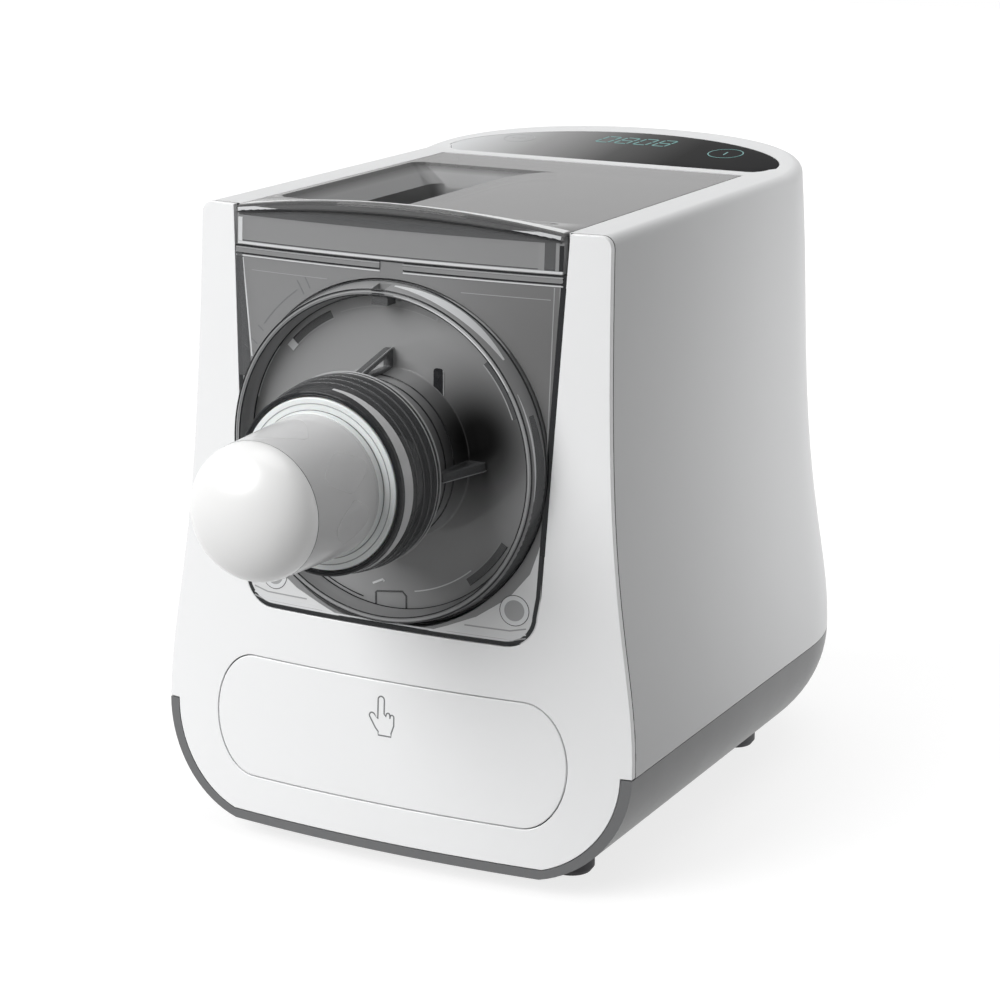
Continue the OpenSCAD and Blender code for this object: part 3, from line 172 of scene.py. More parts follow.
def power(value, n):
    """Signed power that draws a superellipse of order n out of a sine or cosine."""
    return math.copysign(abs(value) ** (2 / n), value)


def steps(low, high, count):
    return [low + (high - low) * i / count for i in range(count + 1)]


def arc(cx, cy, r, start, end, count=12):
    """Points of an arc, with its angles in degrees."""
    return [(cx + r * cosd(t), cy + r * sind(t)) for t in steps(start, end, count)]


def mirrored(right):
    """Right half of an outline, followed by its mirror image."""
    return right + [(-x, z) for x, z in reversed(right)]


def rounded(outline, r, count=3):
    """Closed outline with its corners eased by r, or by less where the sides are short.
    Corners on the axis and nearly straight ones stay as they are."""
    out = []
    for i, corner in enumerate(outline):
        here = Vector(corner)
        to_last = Vector(outline[i - 1]) - here
        to_next = Vector(outline[(i + 1) % len(outline)]) - here
        if to_last.length < TINY or to_next.length < TINY:
            continue
        turn = to_last.angle(to_next)
        if turn > NEARLY_STRAIGHT or here.x < TINY:
            out.append(tuple(here))
            continue
        cut = min(r, 0.45 * to_last.length, 0.45 * to_next.length)
        start = here + to_last.normalized() * cut
        end = here + to_next.normalized() * cut
        for t in steps(0, 1, count):
            out.append(tuple(start * (1 - t) ** 2 + here * 2 * t * (1 - t) + end * t ** 2))
    return out


# ---- Meshes ----
MERGE = 2e-6
SHARP_FROM = 32


def shape(name, points, faces):
    """Mesh object with its doubles merged and its faces turned outwards."""
    mesh = bpy.data.meshes.new(name)
    mesh.from_pydata([tuple(p) for p in points], [], faces)
    work = bmesh.new()
    work.from_mesh(mesh)
    bmesh.ops.remove_doubles(work, verts=work.verts, dist=MERGE)
    bmesh.ops.dissolve_degenerate(work, edges=work.edges, dist=MERGE / 20)
    bmesh.ops.recalc_face_normals(work, faces=work.faces)
    work.to_mesh(mesh)
    work.free()
    made = bpy.data.objects.new(name, mesh)
    bpy.context.scene.collection.objects.link(made)
    return made


def bake(piece):
    """Replace a piece's mesh by the result of its modifiers."""
    bpy.context.view_layer.update()
    graph = bpy.context.evaluated_depsgraph_get()
    mesh = bpy.data.meshes.new_from_object(piece.evaluated_get(graph))
    piece.modifiers.clear()
    piece.data = mesh


def carve(piece, tool, how="DIFFERENCE"):
    """Cut a tool out of a piece, or join it on."""
    step = piece.modifiers.new("carve", "BOOLEAN")
    step.operation = how
    step.solver = "EXACT"
    step.object = tool
    bake(piece)
    bpy.data.objects.remove(tool)


def soften(piece, width, angle=50, count=2):
    """Round a piece's sharp edges by a width in millimetres."""
    edge = piece.modifiers.new("edges", "BEVEL")
    edge.width = width * MM
    edge.segments = count
    edge.limit_method = "ANGLE"
    edge.angle_limit = math.radians(angle)
    edge.use_clamp_overlap = True
    bake(piece)


def settle(piece, finish, body, slot, *nodes):
    """Shade a finished piece, give it its material, tie it to its body and hide the nodes it
    replaces.
    """
    mesh = piece.data
    mesh.polygons.foreach_set("use_smooth", [True] * len(mesh.polygons))
    mesh.set_sharp_from_angle(angle=math.radians(SHARP_FROM))
    even = piece.modifiers.new("even", "WEIGHTED_NORMAL")
    even.keep_sharp = True
    bake(piece)
    piece.data.materials.clear()
    piece.data.materials.append(finish)
    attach(piece, body)
    if nodes:
        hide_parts(*nodes)
    return piece


def block(name, low, high):
    """Plain box between two corners of the body's own frame, as a cutting tool or a wall."""
    points = [spot(*corner) for corner in itertools.product(*zip(low, high))]
    faces = [(0, 1, 3, 2), (4, 6, 7, 5), (0, 4, 5, 1), (2, 3, 7, 6), (0, 2, 6, 4), (1, 5, 7, 3)]
    return shape(name, points, faces)


def prism(name, outline, place_low, place_high):
    """Solid between two copies of an outline, each placed by a function of its two coordinates."""
    n = len(outline)
    points = [place_low(*p) for p in outline] + [place_high(*p) for p in outline]
    faces = [(j, (j + 1) % n, n + (j + 1) % n, n + j) for j in range(n)]
    faces += [tuple(range(n)), tuple(range(2 * n - 1, n - 1, -1))]
    return shape(name, points, faces)


def stack(name, rings, paired=0):
    """Solid through rings of equal length; its ends are plain, or run across between the
    first points of each ring and their mirror images."""
    n = len(rings[0])
    points = [p for ring in rings for p in ring]
    faces = []
    for k in range(len(rings) - 1):
        for j in range(n):
            a, b = k * n + j, k * n + (j + 1) % n
            faces.append((a, b, b + n, a + n))
    for base in (0, (len(rings) - 1) * n):
        if not paired:
            faces.append(tuple(range(base, base + n)))
            continue
        for j in range(paired // 2 - 1):
            faces.append((base + j, base + j + 1, base + paired - 2 - j, base + paired - 1 - j))
        faces.append((base,) + tuple(range(base + paired - 1, base + n)))
    return shape(name, points, faces)


def turned(name, profile, turns=128, x=0.0):
    """Solid turned about an axis from back to front; the profile holds radius and reach forward."""
    points = []
    faces = []
    n = len(profile)
    for i in range(turns):
        a = 2 * math.pi * i / turns
        points += [spot(x + r * math.cos(a), -f, AXIS_H + r * math.sin(a)) for r, f in profile]
        ahead = (i + 1) % turns
        faces += [(i * n + j, i * n + (j + 1) % n, ahead * n + (j + 1) % n, ahead * n + j)
                  for j in range(n)]
    return shape(name, points, faces)


def inside(p, loops):
    """Whether a point lies inside the first loop and outside the others, by counting crossings."""
    odd = False
    for loop in loops:
        for (x1, z1), (x2, z2) in zip(loop, loop[1:] + loop[:1]):
            if (z1 > p[1]) != (z2 > p[1]) and p[0] < (x2 - x1) * (p[1] - z1) / (z2 - z1) + x1:
                odd = not odd
    return odd


def divided(path, pitch=6.0, closed=True):
    """Outline or open path with its long sides divided, so that it follows a bowed face."""
    out = []
    for a, b in zip(path, path[1:] + path[:1] if closed else path[1:]):
        count = max(1, math.ceil(math.dist(a, b) / pitch))
        out += [(a[0] + (b[0] - a[0]) * i / count, a[1] + (b[1] - a[1]) * i / count)
                for i in range(count)]
    return out if closed else out + [path[-1]]


def sheet(name, loops, place_front, place_back, pitch=6.0):
    """Closed sheet with holes: two faces placed by functions of the two flat coordinates."""
    loops = [divided(loop, pitch) for loop in loops]
    flat = [Vector(p) for loop in loops for p in loop]
    edges = []
    start = 0
    for loop in loops:
        edges += [(start + i, start + (i + 1) % len(loop)) for i in range(len(loop))]
        start += len(loop)
    xs = [p[0] for p in loops[0]]
    zs = [p[1] for p in loops[0]]
    rim = list(flat)
    for x in steps(min(xs), max(xs), max(1, int((max(xs) - min(xs)) / pitch))):
        for z in steps(min(zs), max(zs), max(1, int((max(zs) - min(zs)) / pitch))):
            p = Vector((x, z))
            if inside(p, loops) and min((q - p).length_squared for q in rim) > (pitch / 2) ** 2:
                flat.append(p)
    verts, _, faces, *_ = delaunay_2d_cdt(flat, edges, [], 0, 1e-5, False)
    faces = [f for f in faces if inside(sum((verts[i] for i in f), Vector((0, 0))) / len(f), loops)]
    n = len(verts)
    points = [place_front(*v) for v in verts] + [place_back(*v) for v in verts]
    sides = {}
    for f in faces:
        for a, b in zip(f, f[1:] + f[:1]):
            if (b, a) in sides:
                del sides[(b, a)]
            else:
                sides[(a, b)] = True
    walls = [(b, a, n + a, n + b) for a, b in sides]
    backs = [tuple(n + i for i in reversed(f)) for f in faces]
    return shape(name, points, [tuple(f) for f in faces] + backs + walls)


def at_depth(depth):
    """Placing function on the bowed front, at a depth behind it."""
    return lambda x, z: spot(x, front_y(x, z) + depth, z)


def at_reach(reach):
    """Placing function across the nozzle's axis, at a reach forward."""
    return lambda x, z: spot(x, -reach, AXIS_H + z)


def beside_axis(x):
    """Placing function in an upright plane, by radius from the nozzle's axis and reach forward."""
    return lambda r, f: spot(x, -f, AXIS_H + r)


def on_slope(w):
    """Placing function in the control panel's plane, at a height over it."""
    c, s = math.cos(SLOPE), math.sin(SLOPE)
    return lambda u, v: spot(u, NOSE_Y + v * c - w * s, BODY_H + v * s + w * c)


def circle(cx, cy, r, count=96):
    return [(cx + r * math.cos(2 * math.pi * i / count), cy + r * math.sin(2 * math.pi * i / count))
            for i in range(count)]


# ---- Repeating pieces ----
def repeat_tree():
    """Geometry Nodes tree that repeats a mesh round the nozzle's axis or along a line."""
    tree = bpy.data.node_groups.new("repeat", "GeometryNodeTree")
    face = tree.interface
    face.new_socket("Piece", in_out="INPUT", socket_type="NodeSocketGeometry")
    for label, kind in (("Copies", "Int"), ("Turn", "Float"), ("Shift", "Vector"),
                        ("Centre", "Vector"), ("Finish", "Material")):
        face.new_socket(label, in_out="INPUT", socket_type="NodeSocket" + kind)
    face.new_socket("Pieces", in_out="OUTPUT", socket_type="NodeSocketGeometry")
    add = tree.nodes.new
    link = tree.links.new
    given = add("NodeGroupInput")
    points = add("GeometryNodePoints")
    index = add("GeometryNodeInputIndex")
    shift = add("ShaderNodeVectorMath")
    shift.operation = "SCALE"
    turn = add("ShaderNodeMath")
    turn.operation = "MULTIPLY"
    spin = add("ShaderNodeCombineXYZ")
    copies = add("GeometryNodeInstanceOnPoints")
    rotate = add("GeometryNodeRotateInstances")
    rotate.inputs["Local Space"].default_value = False
    real = add("GeometryNodeRealizeInstances")
    paint = add("GeometryNodeSetMaterial")
    out = add("NodeGroupOutput")
    link(given.outputs["Copies"], points.inputs["Count"])
    link(given.outputs["Shift"], shift.inputs[0])
    link(index.outputs[0], shift.inputs["Scale"])
    link(shift.outputs[0], points.inputs["Position"])
    link(points.outputs[0], copies.inputs["Points"])
    link(given.outputs["Piece"], copies.inputs["Instance"])
    link(index.outputs[0], turn.inputs[0])
    link(given.outputs["Turn"], turn.inputs[1])
    link(turn.outputs[0], spin.inputs["Y"])
    link(copies.outputs[0], rotate.inputs["Instances"])
    link(spin.outputs[0], rotate.inputs["Rotation"])
    link(given.outputs["Centre"], rotate.inputs["Pivot Point"])
    link(rotate.outputs[0], real.inputs[0])
    link(real.outputs[0], paint.inputs["Geometry"])
    link(given.outputs["Finish"], paint.inputs["Material"])
    link(paint.outputs[0], out.inputs[0])
    return tree


REPEAT = repeat_tree()


def repeated(piece, copies, turn=0.0, shift=(0.0, 0.0, 0.0), finish=None):
    """Repeat a piece, each copy turned about the nozzle's axis and shifted on from the last one."""
    step = piece.modifiers.new("repeat", "NODES")
    step.node_group = REPEAT
    ids = {item.name: item.identifier for item in REPEAT.interface.items_tree
           if item.in_out == "INPUT"}
    step[ids["Copies"]] = copies
    step[ids["Turn"]] = math.radians(turn)
    step[ids["Shift"]] = [s * MM for s in shift]
    step[ids["Centre"]] = list(spot(0, 0, AXIS_H))
    step[ids["Finish"]] = finish
    bake(piece)
    return piece


def settle_copies(piece, copies, finish, body, slot, **places):
    """Repeat a piece and settle all its copies as one piece."""
    settle(repeated(piece, copies, finish=finish, **places), finish, body, slot)


# ---- Shader groups ----
def shader_group(name, inputs, outputs):
    """Empty shader group with named sockets."""
    tree = bpy.data.node_groups.new(name, "ShaderNodeTree")
    kinds = {"f": "NodeSocketFloat", "c": "NodeSocketColor", "v": "NodeSocketVector"}
    for label, kind, value in inputs:
        socket = tree.interface.new_socket(label, in_out="INPUT", socket_type=kinds[kind])
        socket.default_value = value
    for label, kind in outputs:
        tree.interface.new_socket(label, in_out="OUTPUT", socket_type=kinds[kind])
    return tree, tree.nodes.new("NodeGroupInput"), tree.nodes.new("NodeGroupOutput")


def feed(tree, socket, value):
    """Link another socket to this one, or set it to a plain value."""
    if isinstance(value, bpy.types.NodeSocket):
        tree.links.new(value, socket)
    else:
        socket.default_value = value


def noise(tree, place, scale, detail):
    node = tree.nodes.new("ShaderNodeTexNoise")
    for label, value in (("Vector", place), ("Scale", scale), ("Detail", detail)):
        feed(tree, node.inputs[label], value)
    return node.outputs["Fac"]


def maths(tree, how, *values):
    """Math node whose inputs are numbers or sockets."""
    node = tree.nodes.new("ShaderNodeMath")
    node.operation = how
    for socket, value in zip(node.inputs, values):
        feed(tree, socket, value)
    return node.outputs[0]


def blend(tree, share, first, second):
    """Mix of two colours or colour sockets."""
    node = tree.nodes.new("ShaderNodeMix")
    node.data_type = "RGBA"
    for place, value in ((0, share), (6, first), (7, second)):
        feed(tree, node.inputs[place], value)
    return node.outputs[2]


def coordinate(tree, place, axis):
    node = tree.nodes.new("ShaderNodeSeparateXYZ")
    tree.links.new(place, node.inputs[0])
    return node.outputs[axis]


def share_between(tree, value, start, end, how="LINEAR"):
    """Share that goes from 0 to 1 as a socket's value goes from start to end."""
    node = tree.nodes.new("ShaderNodeMapRange")
    node.interpolation_type = how
    tree.links.new(value, node.inputs["Value"])
    node.inputs["From Min"].default_value = start
    node.inputs["From Max"].default_value = end
    return node.outputs["Result"]


def moulding_group():
    """Moulded plastic: slow drift of tone, fine grain and small changes of gloss."""
    tree, given, out = shader_group(
        "moulding",
        [("Place", "v", (0, 0, 0)), ("Colour", "c", (0.8, 0.8, 0.8, 1)), ("Drift", "f", 0.03),
         ("Gloss", "f", 0.2), ("Gloss change", "f", 0.05), ("Grain", "f", 2500.0)],
        [("Colour", "c"), ("Roughness", "f"), ("Height", "f")])
    place = given.outputs["Place"]
    slow = noise(tree, place, 9.0, 2.0)
    smear = noise(tree, place, 60.0, 4.0)
    fine = noise(tree, place, given.outputs["Grain"], 2.0)
    darker = blend(tree, given.outputs["Drift"], given.outputs["Colour"],
                   (0.0, 0.0, 0.0, 1))
    tree.links.new(blend(tree, slow, given.outputs["Colour"], darker), out.inputs["Colour"])
    change = maths(tree, "MULTIPLY_ADD", maths(tree, "SUBTRACT", smear, 0.5),
                   given.outputs["Gloss change"], given.outputs["Gloss"])
    tree.links.new(change, out.inputs["Roughness"])
    tree.links.new(fine, out.inputs["Height"])
    return tree


def metal_group():
    """Machined metal: lines along one direction, over a slow drift of tone."""
    tree, given, out = shader_group(
        "machining",
        [("Place", "v", (0, 0, 0)), ("Stretch", "v", (1, 1, 1)),
         ("Colour", "c", (0.6, 0.6, 0.6, 1)), ("Gloss", "f", 0.3), ("Lines", "f", 400.0)],
        [("Colour", "c"), ("Roughness", "f"), ("Height", "f")])
    scaled = tree.nodes.new("ShaderNodeVectorMath")
    scaled.operation = "MULTIPLY"
    tree.links.new(given.outputs["Place"], scaled.inputs[0])
    tree.links.new(given.outputs["Stretch"], scaled.inputs[1])
    lines = noise(tree, scaled.outputs[0], given.outputs["Lines"], 3.0)
    slow = noise(tree, given.outputs["Place"], 30.0, 3.0)
    shaded = blend(tree, 0.3, given.outputs["Colour"], (0.05, 0.05, 0.05, 1))
    worn = maths(tree, "MULTIPLY", lines, slow)
    tree.links.new(blend(tree, worn, given.outputs["Colour"], shaded), out.inputs["Colour"])
    rough = maths(tree, "MULTIPLY_ADD", lines, 0.2, given.outputs["Gloss"])
    tree.links.new(rough, out.inputs["Roughness"])
    tree.links.new(lines, out.inputs["Height"])
    return tree


MOULDING = moulding_group()
MACHINING = metal_group()


# ---- Materials ----
CLEAR_GRAIN = 0.0008
CLEAR_SHINE = 0.2


def start_material(name, roughness, **plain):
    """Material with a Principled shader, Object coordinates and plain values on its sockets."""
    made = bpy.data.materials.new(name)
    made.use_nodes = True
    tree = made.node_tree
    shader = tree.nodes["Principled BSDF"]
    shader.inputs["Roughness"].default_value = roughness
    for label, value in plain.items():
        shader.inputs[label.replace("_", " ")].default_value = value
    place = tree.nodes.new("ShaderNodeTexCoord").outputs["Object"]
    return made, tree, shader, place


def use_group(tree, group, place, **values):
    """Group node with its values set, named with spaces for underscores."""
    node = tree.nodes.new("ShaderNodeGroup")
    node.node_tree = group
    tree.links.new(place, node.inputs["Place"])
    for label, value in values.items():
        node.inputs[label.replace("_", " ")].default_value = value
    return node


def wear_skin(tree, shader, skin, grain_depth=0.0):
    """Drive a shader's colour and roughness by a group, and its grain to a depth in millimetres."""
    tree.links.new(skin.outputs["Colour"], shader.inputs["Base Color"])
    tree.links.new(skin.outputs["Roughness"], shader.inputs["Roughness"])
    if grain_depth:
        bump = tree.nodes.new("ShaderNodeBump")
        bump.inputs["Distance"].default_value = grain_depth * MM
        bump.inputs["Strength"].default_value = 1.0
        tree.links.new(skin.outputs["Height"], bump.inputs["Height"])
        tree.links.new(bump.outputs[0], shader.inputs["Normal"])


def plastic(name, colour, gloss, grain=2500.0, depth=0.01, drift=0.03, change=0.05, **plain):
    """Opaque moulded plastic or rubber."""
    made, tree, shader, place = start_material(name, gloss, **plain)
    skin = use_group(tree, MOULDING, place, Colour=(*colour, 1), Gloss=gloss, Drift=drift,
                     Gloss_change=change, Grain=grain)
    wear_skin(tree, shader, skin, depth)
    return made


def clear_plastic(name, colour, body, edge, gloss=0.06, drift=0.15, shade_zone=None, shade_above=None,
                  **plain):
    """See-through plastic: body is its cover seen face on, edge its cover seen along the surface.
    A zone of painted shade is given by its middle, its inner and outer radius, its tone and its
    extra cover;
    shade_above holds two heights and the tone of painted shade reached at the upper one."""
    made, tree, shader, place = start_material(name, gloss, IOR=1.5,
                                               Specular_IOR_Level=CLEAR_SHINE, **plain)
    skin = use_group(tree, MOULDING, place, Colour=(*colour, 1), Gloss=gloss, Drift=drift,
                     Gloss_change=0.03, Grain=900.0)
    facing = tree.nodes.new("ShaderNodeLayerWeight")
    facing.inputs["Blend"].default_value = 0.35
    cover = maths(tree, "MULTIPLY_ADD", facing.outputs["Facing"], edge - body, body)
    # Painted shade: darker and denser towards a middle point, fading out by the outer radius.
    if shade_zone:
        middle, near, far, tone, extra = shade_zone
        away = tree.nodes.new("ShaderNodeVectorMath")
        away.operation = "DISTANCE"
        tree.links.new(place, away.inputs[0])
        away.inputs[1].default_value = middle
        share = share_between(tree, away.outputs["Value"], far * MM, near * MM, "SMOOTHSTEP")
        shaded = blend(tree, share, (*colour, 1), (tone, tone, tone, 1))
        tree.links.new(shaded, skin.inputs["Colour"])
        cover = maths(tree, "MINIMUM", maths(tree, "MULTIPLY_ADD", share, extra, cover), 1.0)
    # Painted shade: darker from the lower height up to the upper one.
    if shade_above:
        low, high, tone = shade_above
        share = share_between(tree, coordinate(tree, place, "Z"),
                              spot(0, 0, low).z, spot(0, 0, high).z)
        shaded = blend(tree, share, (*colour, 1), (tone, tone, tone, 1))
        tree.links.new(shaded, skin.inputs["Colour"])
    tree.links.new(cover, shader.inputs["Alpha"])
    wear_skin(tree, shader, skin, CLEAR_GRAIN)
    return made


def metal(name, colour, gloss, stretch=(1, 1, 1), lines=400.0, depth=0.004):
    """Bare or plated metal."""
    made, tree, shader, place = start_material(name, gloss, Metallic=1.0)
    skin = use_group(tree, MACHINING, place, Colour=(*colour, 1), Gloss=gloss,
                     Stretch=stretch, Lines=lines)
    wear_skin(tree, shader, skin, depth)
    return made


GLASS_HALF = 84
GLASS_REFLECTION_TONES = ((0.25, 0.34), (0.5, 0.085), (0.7, 0.012))


def glass_painted_reflection():
    """Glass with a painted reflection, graded from light gray on its left to black on its right."""
    made, tree, shader, place = start_material("glass_painted_reflection", 0.08, IOR=1.5)
    shader.inputs["Specular IOR Level"].default_value = 0.004
    # Painted reflection: tone graded across the glass from left to right.
    across = share_between(tree, coordinate(tree, place, "X"), -GLASS_HALF * MM, GLASS_HALF * MM)
    ramp = tree.nodes.new("ShaderNodeValToRGB")
    ramp.color_ramp.elements[0].color = (0.74, 0.75, 0.76, 1)
    ramp.color_ramp.elements[1].color = (0.002, 0.002, 0.003, 1)
    for at, level in GLASS_REFLECTION_TONES:
        ramp.color_ramp.elements.new(at).color = (level, level, level, 1)
    tree.links.new(across, ramp.inputs[0])
    skin = use_group(tree, MOULDING, place, Gloss=0.08, Drift=0.1, Gloss_change=0.02, Grain=400.0)
    tree.links.new(ramp.outputs[0], skin.inputs["Colour"])
    wear_skin(tree, shader, skin)
    return made


def lit_ink(name, colour, glow):
    """Printed or lit mark on the control glass."""
    made, tree, shader, place = start_material(name, 0.3)
    skin = use_group(tree, MOULDING, place, Colour=(*colour, 1), Gloss=0.3, Drift=0.1, Grain=4000.0)
    wear_skin(tree, shader, skin)
    tree.links.new(skin.outputs["Colour"], shader.inputs["Emission Color"])
    shader.inputs["Emission Strength"].default_value = glow
    return made


FINISH = {
    "white_gloss": plastic("white_gloss", (0.86, 0.865, 0.87), 0.12, 1800.0, 0.001, 0.02, 0.03,
                           Coat_Weight=0.4, Coat_Roughness=0.04),
    "white_satin": plastic("white_satin", (0.74, 0.745, 0.75), 0.44, 3500.0, 0.01, 0.03, 0.06,
                           Specular_IOR_Level=0.25),
    "base_gray": plastic("base_gray", (0.13, 0.132, 0.135), 0.34, 3500.0, 0.02, 0.06, 0.08),
    "white_food": plastic("white_food", (0.80, 0.80, 0.79), 0.25, 2500.0, 0.005, 0.03, 0.05,
                          Subsurface_Weight=0.1),
    "smoke_clear": clear_plastic("smoke_clear", (0.36, 0.362, 0.365), 0.72, 0.9),
    "smoke_dark": clear_plastic("smoke_dark", (0.072, 0.073, 0.075), 0.72, 0.95),
    "frost_clear": clear_plastic("frost_clear", (0.84, 0.842, 0.845), 0.76, 0.94, 0.16),
    "panel_black": glass_painted_reflection(),
    "display": plastic("display", (0.01, 0.02, 0.02), 0.1),
    "inner_gray": plastic("inner_gray", (0.60, 0.62, 0.64), 0.4, 3000.0, 0.02, 0.05, 0.08),
    "black_plastic": plastic("black_plastic", (0.02, 0.02, 0.021), 0.4, 3000.0, 0.02, 0.05, 0.08),
    "rubber_gray": plastic("rubber_gray", (0.10, 0.10, 0.105), 0.7, 1500.0, 0.05, 0.15, 0.1),
    "steel": metal("steel", (0.62, 0.63, 0.65), 0.22, (1, 0.1, 1)),
    "sheet_steel": metal("sheet_steel", (0.50, 0.51, 0.53), 0.35, (0.1, 1, 1), 600.0),
    "cast_alloy": metal("cast_alloy", (0.55, 0.56, 0.58), 0.45, (1, 1, 1), 900.0, 0.05),
    "gear_steel": metal("gear_steel", (0.34, 0.34, 0.35), 0.35, (1, 0.2, 1), 700.0),
    "gear_nylon": plastic("gear_nylon", (0.72, 0.70, 0.64), 0.4, 2500.0, 0.01, 0.06, 0.06),
    "lamination": metal("lamination", (0.28, 0.28, 0.30), 0.4, (0.1, 8, 0.1), 300.0, 0.1),
    "copper": metal("copper_wire", (0.62, 0.26, 0.10), 0.25, (1, 0.15, 1), 1200.0, 0.2),
    "board_green": plastic("board_green", (0.02, 0.12, 0.05), 0.3, 500.0, 0.05, 0.2, 0.1),
}
# Painted highlights: bright lines on edges, bars, rims and slots.
PAINTED_HIGHLIGHT = clear_plastic("painted_highlight", (0.80, 0.81, 0.82), 0.85, 0.98, 0.1)
# Mid-gray painted lines: soft highlights on the smoky parts; on the white die and the frosted
# sleeve they draw darker lines.
MID_GRAY_LINE = clear_plastic("mid_gray_line", (0.46, 0.465, 0.47), 0.75, 0.95, 0.12)
EDGE_DARK = clear_plastic("shaded_edge", (0.022, 0.023, 0.025), 0.9, 0.98, 0.1)
LEDGE_CLEAR = clear_plastic("ledge_clear", (0.80, 0.805, 0.81), 0.85, 0.95, 0.15)
# Painted reflections on the sleeve.
SLEEVE_REFLECTION = clear_plastic("sleeve_reflection", (0.95, 0.952, 0.955), 0.5, 0.6, 0.16)
CAP_WHITE = plastic("cap_white", (0.84, 0.84, 0.835), 0.3, 2500.0, 0.003, 0.02, 0.04,
                    Coat_Weight=0.7, Coat_Roughness=0.2, Specular_IOR_Level=0.8)
# Painted highlight band on the nut.
PALE_HIGHLIGHT = clear_plastic("pale_highlight", (0.66, 0.665, 0.67), 0.75, 0.92, 0.12)
# Dark smoky plastic for dark parts of their own, and for painted shade and dark painted lines on
# lighter parts.
DARK_CLEAR_AND_SHADE = clear_plastic("dark_clear_and_shade", (0.13, 0.132, 0.135), 0.65, 0.92, 0.1)
RING_CLEAR = clear_plastic("ring_clear", (0.40, 0.402, 0.405), 0.66, 0.88, 0.08)
# Lid with painted shade: darker from just under its top surface upwards.
LID_CLEAR = clear_plastic("lid_clear", (0.36, 0.362, 0.365), 0.72, 0.9,
                          shade_above=(BODY_H - 4, BODY_H - 1, 0.10))
# Painted highlight on the lid's bead.
CREST_HIGHLIGHT = clear_plastic("crest_highlight_clear", (0.90, 0.905, 0.91), 0.92, 0.98, 0.2)
# Window plate with painted shade, darker towards its top right.
PLATE_CLEAR = clear_plastic("plate_clear", (0.33, 0.332, 0.335), 0.72, 0.9,
                            shade_zone=(spot(78, 0, 215), 5, 95, 0.19, 0.1))
# Disc with painted shade, nearly black and denser to the right of the barrel.
DISC_CLEAR = clear_plastic("disc_clear", (0.41, 0.412, 0.415), 0.74, 0.9,
                           shade_zone=(spot(41, 8, AXIS_H + 11), 5, 47, 0.01, 0.25))
TEAL = lit_ink("teal_mark", (0.03, 0.19, 0.18), 0.25)
INK = lit_ink("gray_ink", (0.16, 0.165, 0.17), 0.0)
FAINT = lit_ink("faint_mark", (0.30, 0.31, 0.32), 0.0)


def dress_nodes():
    """Give every node that stays the material of its slot."""
    slots = {part["node"]: part["material_slot"] for part in frame["record"]["subparts"]}
    for name, node in frame["nodes"].items():
        for place in node.material_slots:
            place.material = FINISH[slots[name]]


# ---- Casing ----
SIDE_STEPS = 10
NOSE_STEPS = 72
FRONT_STEPS = 28
PAIRED = 2 * SIDE_STEPS + NOSE_STEPS + 1
NOSE_ORDER = 2.2
WELL_WALL = 2.4
VENTS = 11
VENT_PITCH = 8
VENT_W = 3
VENT_LOW, VENT_HIGH = 112, 158
INLET_HALF = 14.2
INLET_LOW, INLET_HIGH = 67.5, 88.5
FOOT_SLOTS = 9
FOOT_SLOT_PITCH = 9
BAND_LOW = 4.3
DRAWER_END = 20
DRAWER_SIDE = 27.2
DRAWER_Z = 47.8
DRAWER_RISE = 27.3


def body_ring(z, inset=0.0, depth=SEAT_D, top_inset=0.0):
    """One level of the body: right side, rounded back, left side, then the bowed front."""
    w = half_w(z) - inset - top_inset
    back = rear_y(z) - inset - top_inset
    right = [(w, y) for y in steps(front_y(w, z) + depth, NOSE_Y, SIDE_STEPS)][:-1]
    nose = [(w * power(cosd(a), NOSE_ORDER), NOSE_Y + (back - NOSE_Y) * power(sind(a), NOSE_ORDER))
            for a in steps(0, 180, NOSE_STEPS)]
    left = [(-x, y) for x, y in reversed(right)]
    front = [(x, front_y(x, z) + depth) for x in steps(-w, w, FRONT_STEPS)][1:-1]
    return [(x, y, z) for x, y in right + nose + left + front]


def body_solid(name, levels):
    """Solid through levels of the body, raised behind the lid."""
    rings = [[spot(x, y, z + lift(y, z)) for x, y, z in ring] for ring in levels]
    return stack(name, rings, PAIRED)


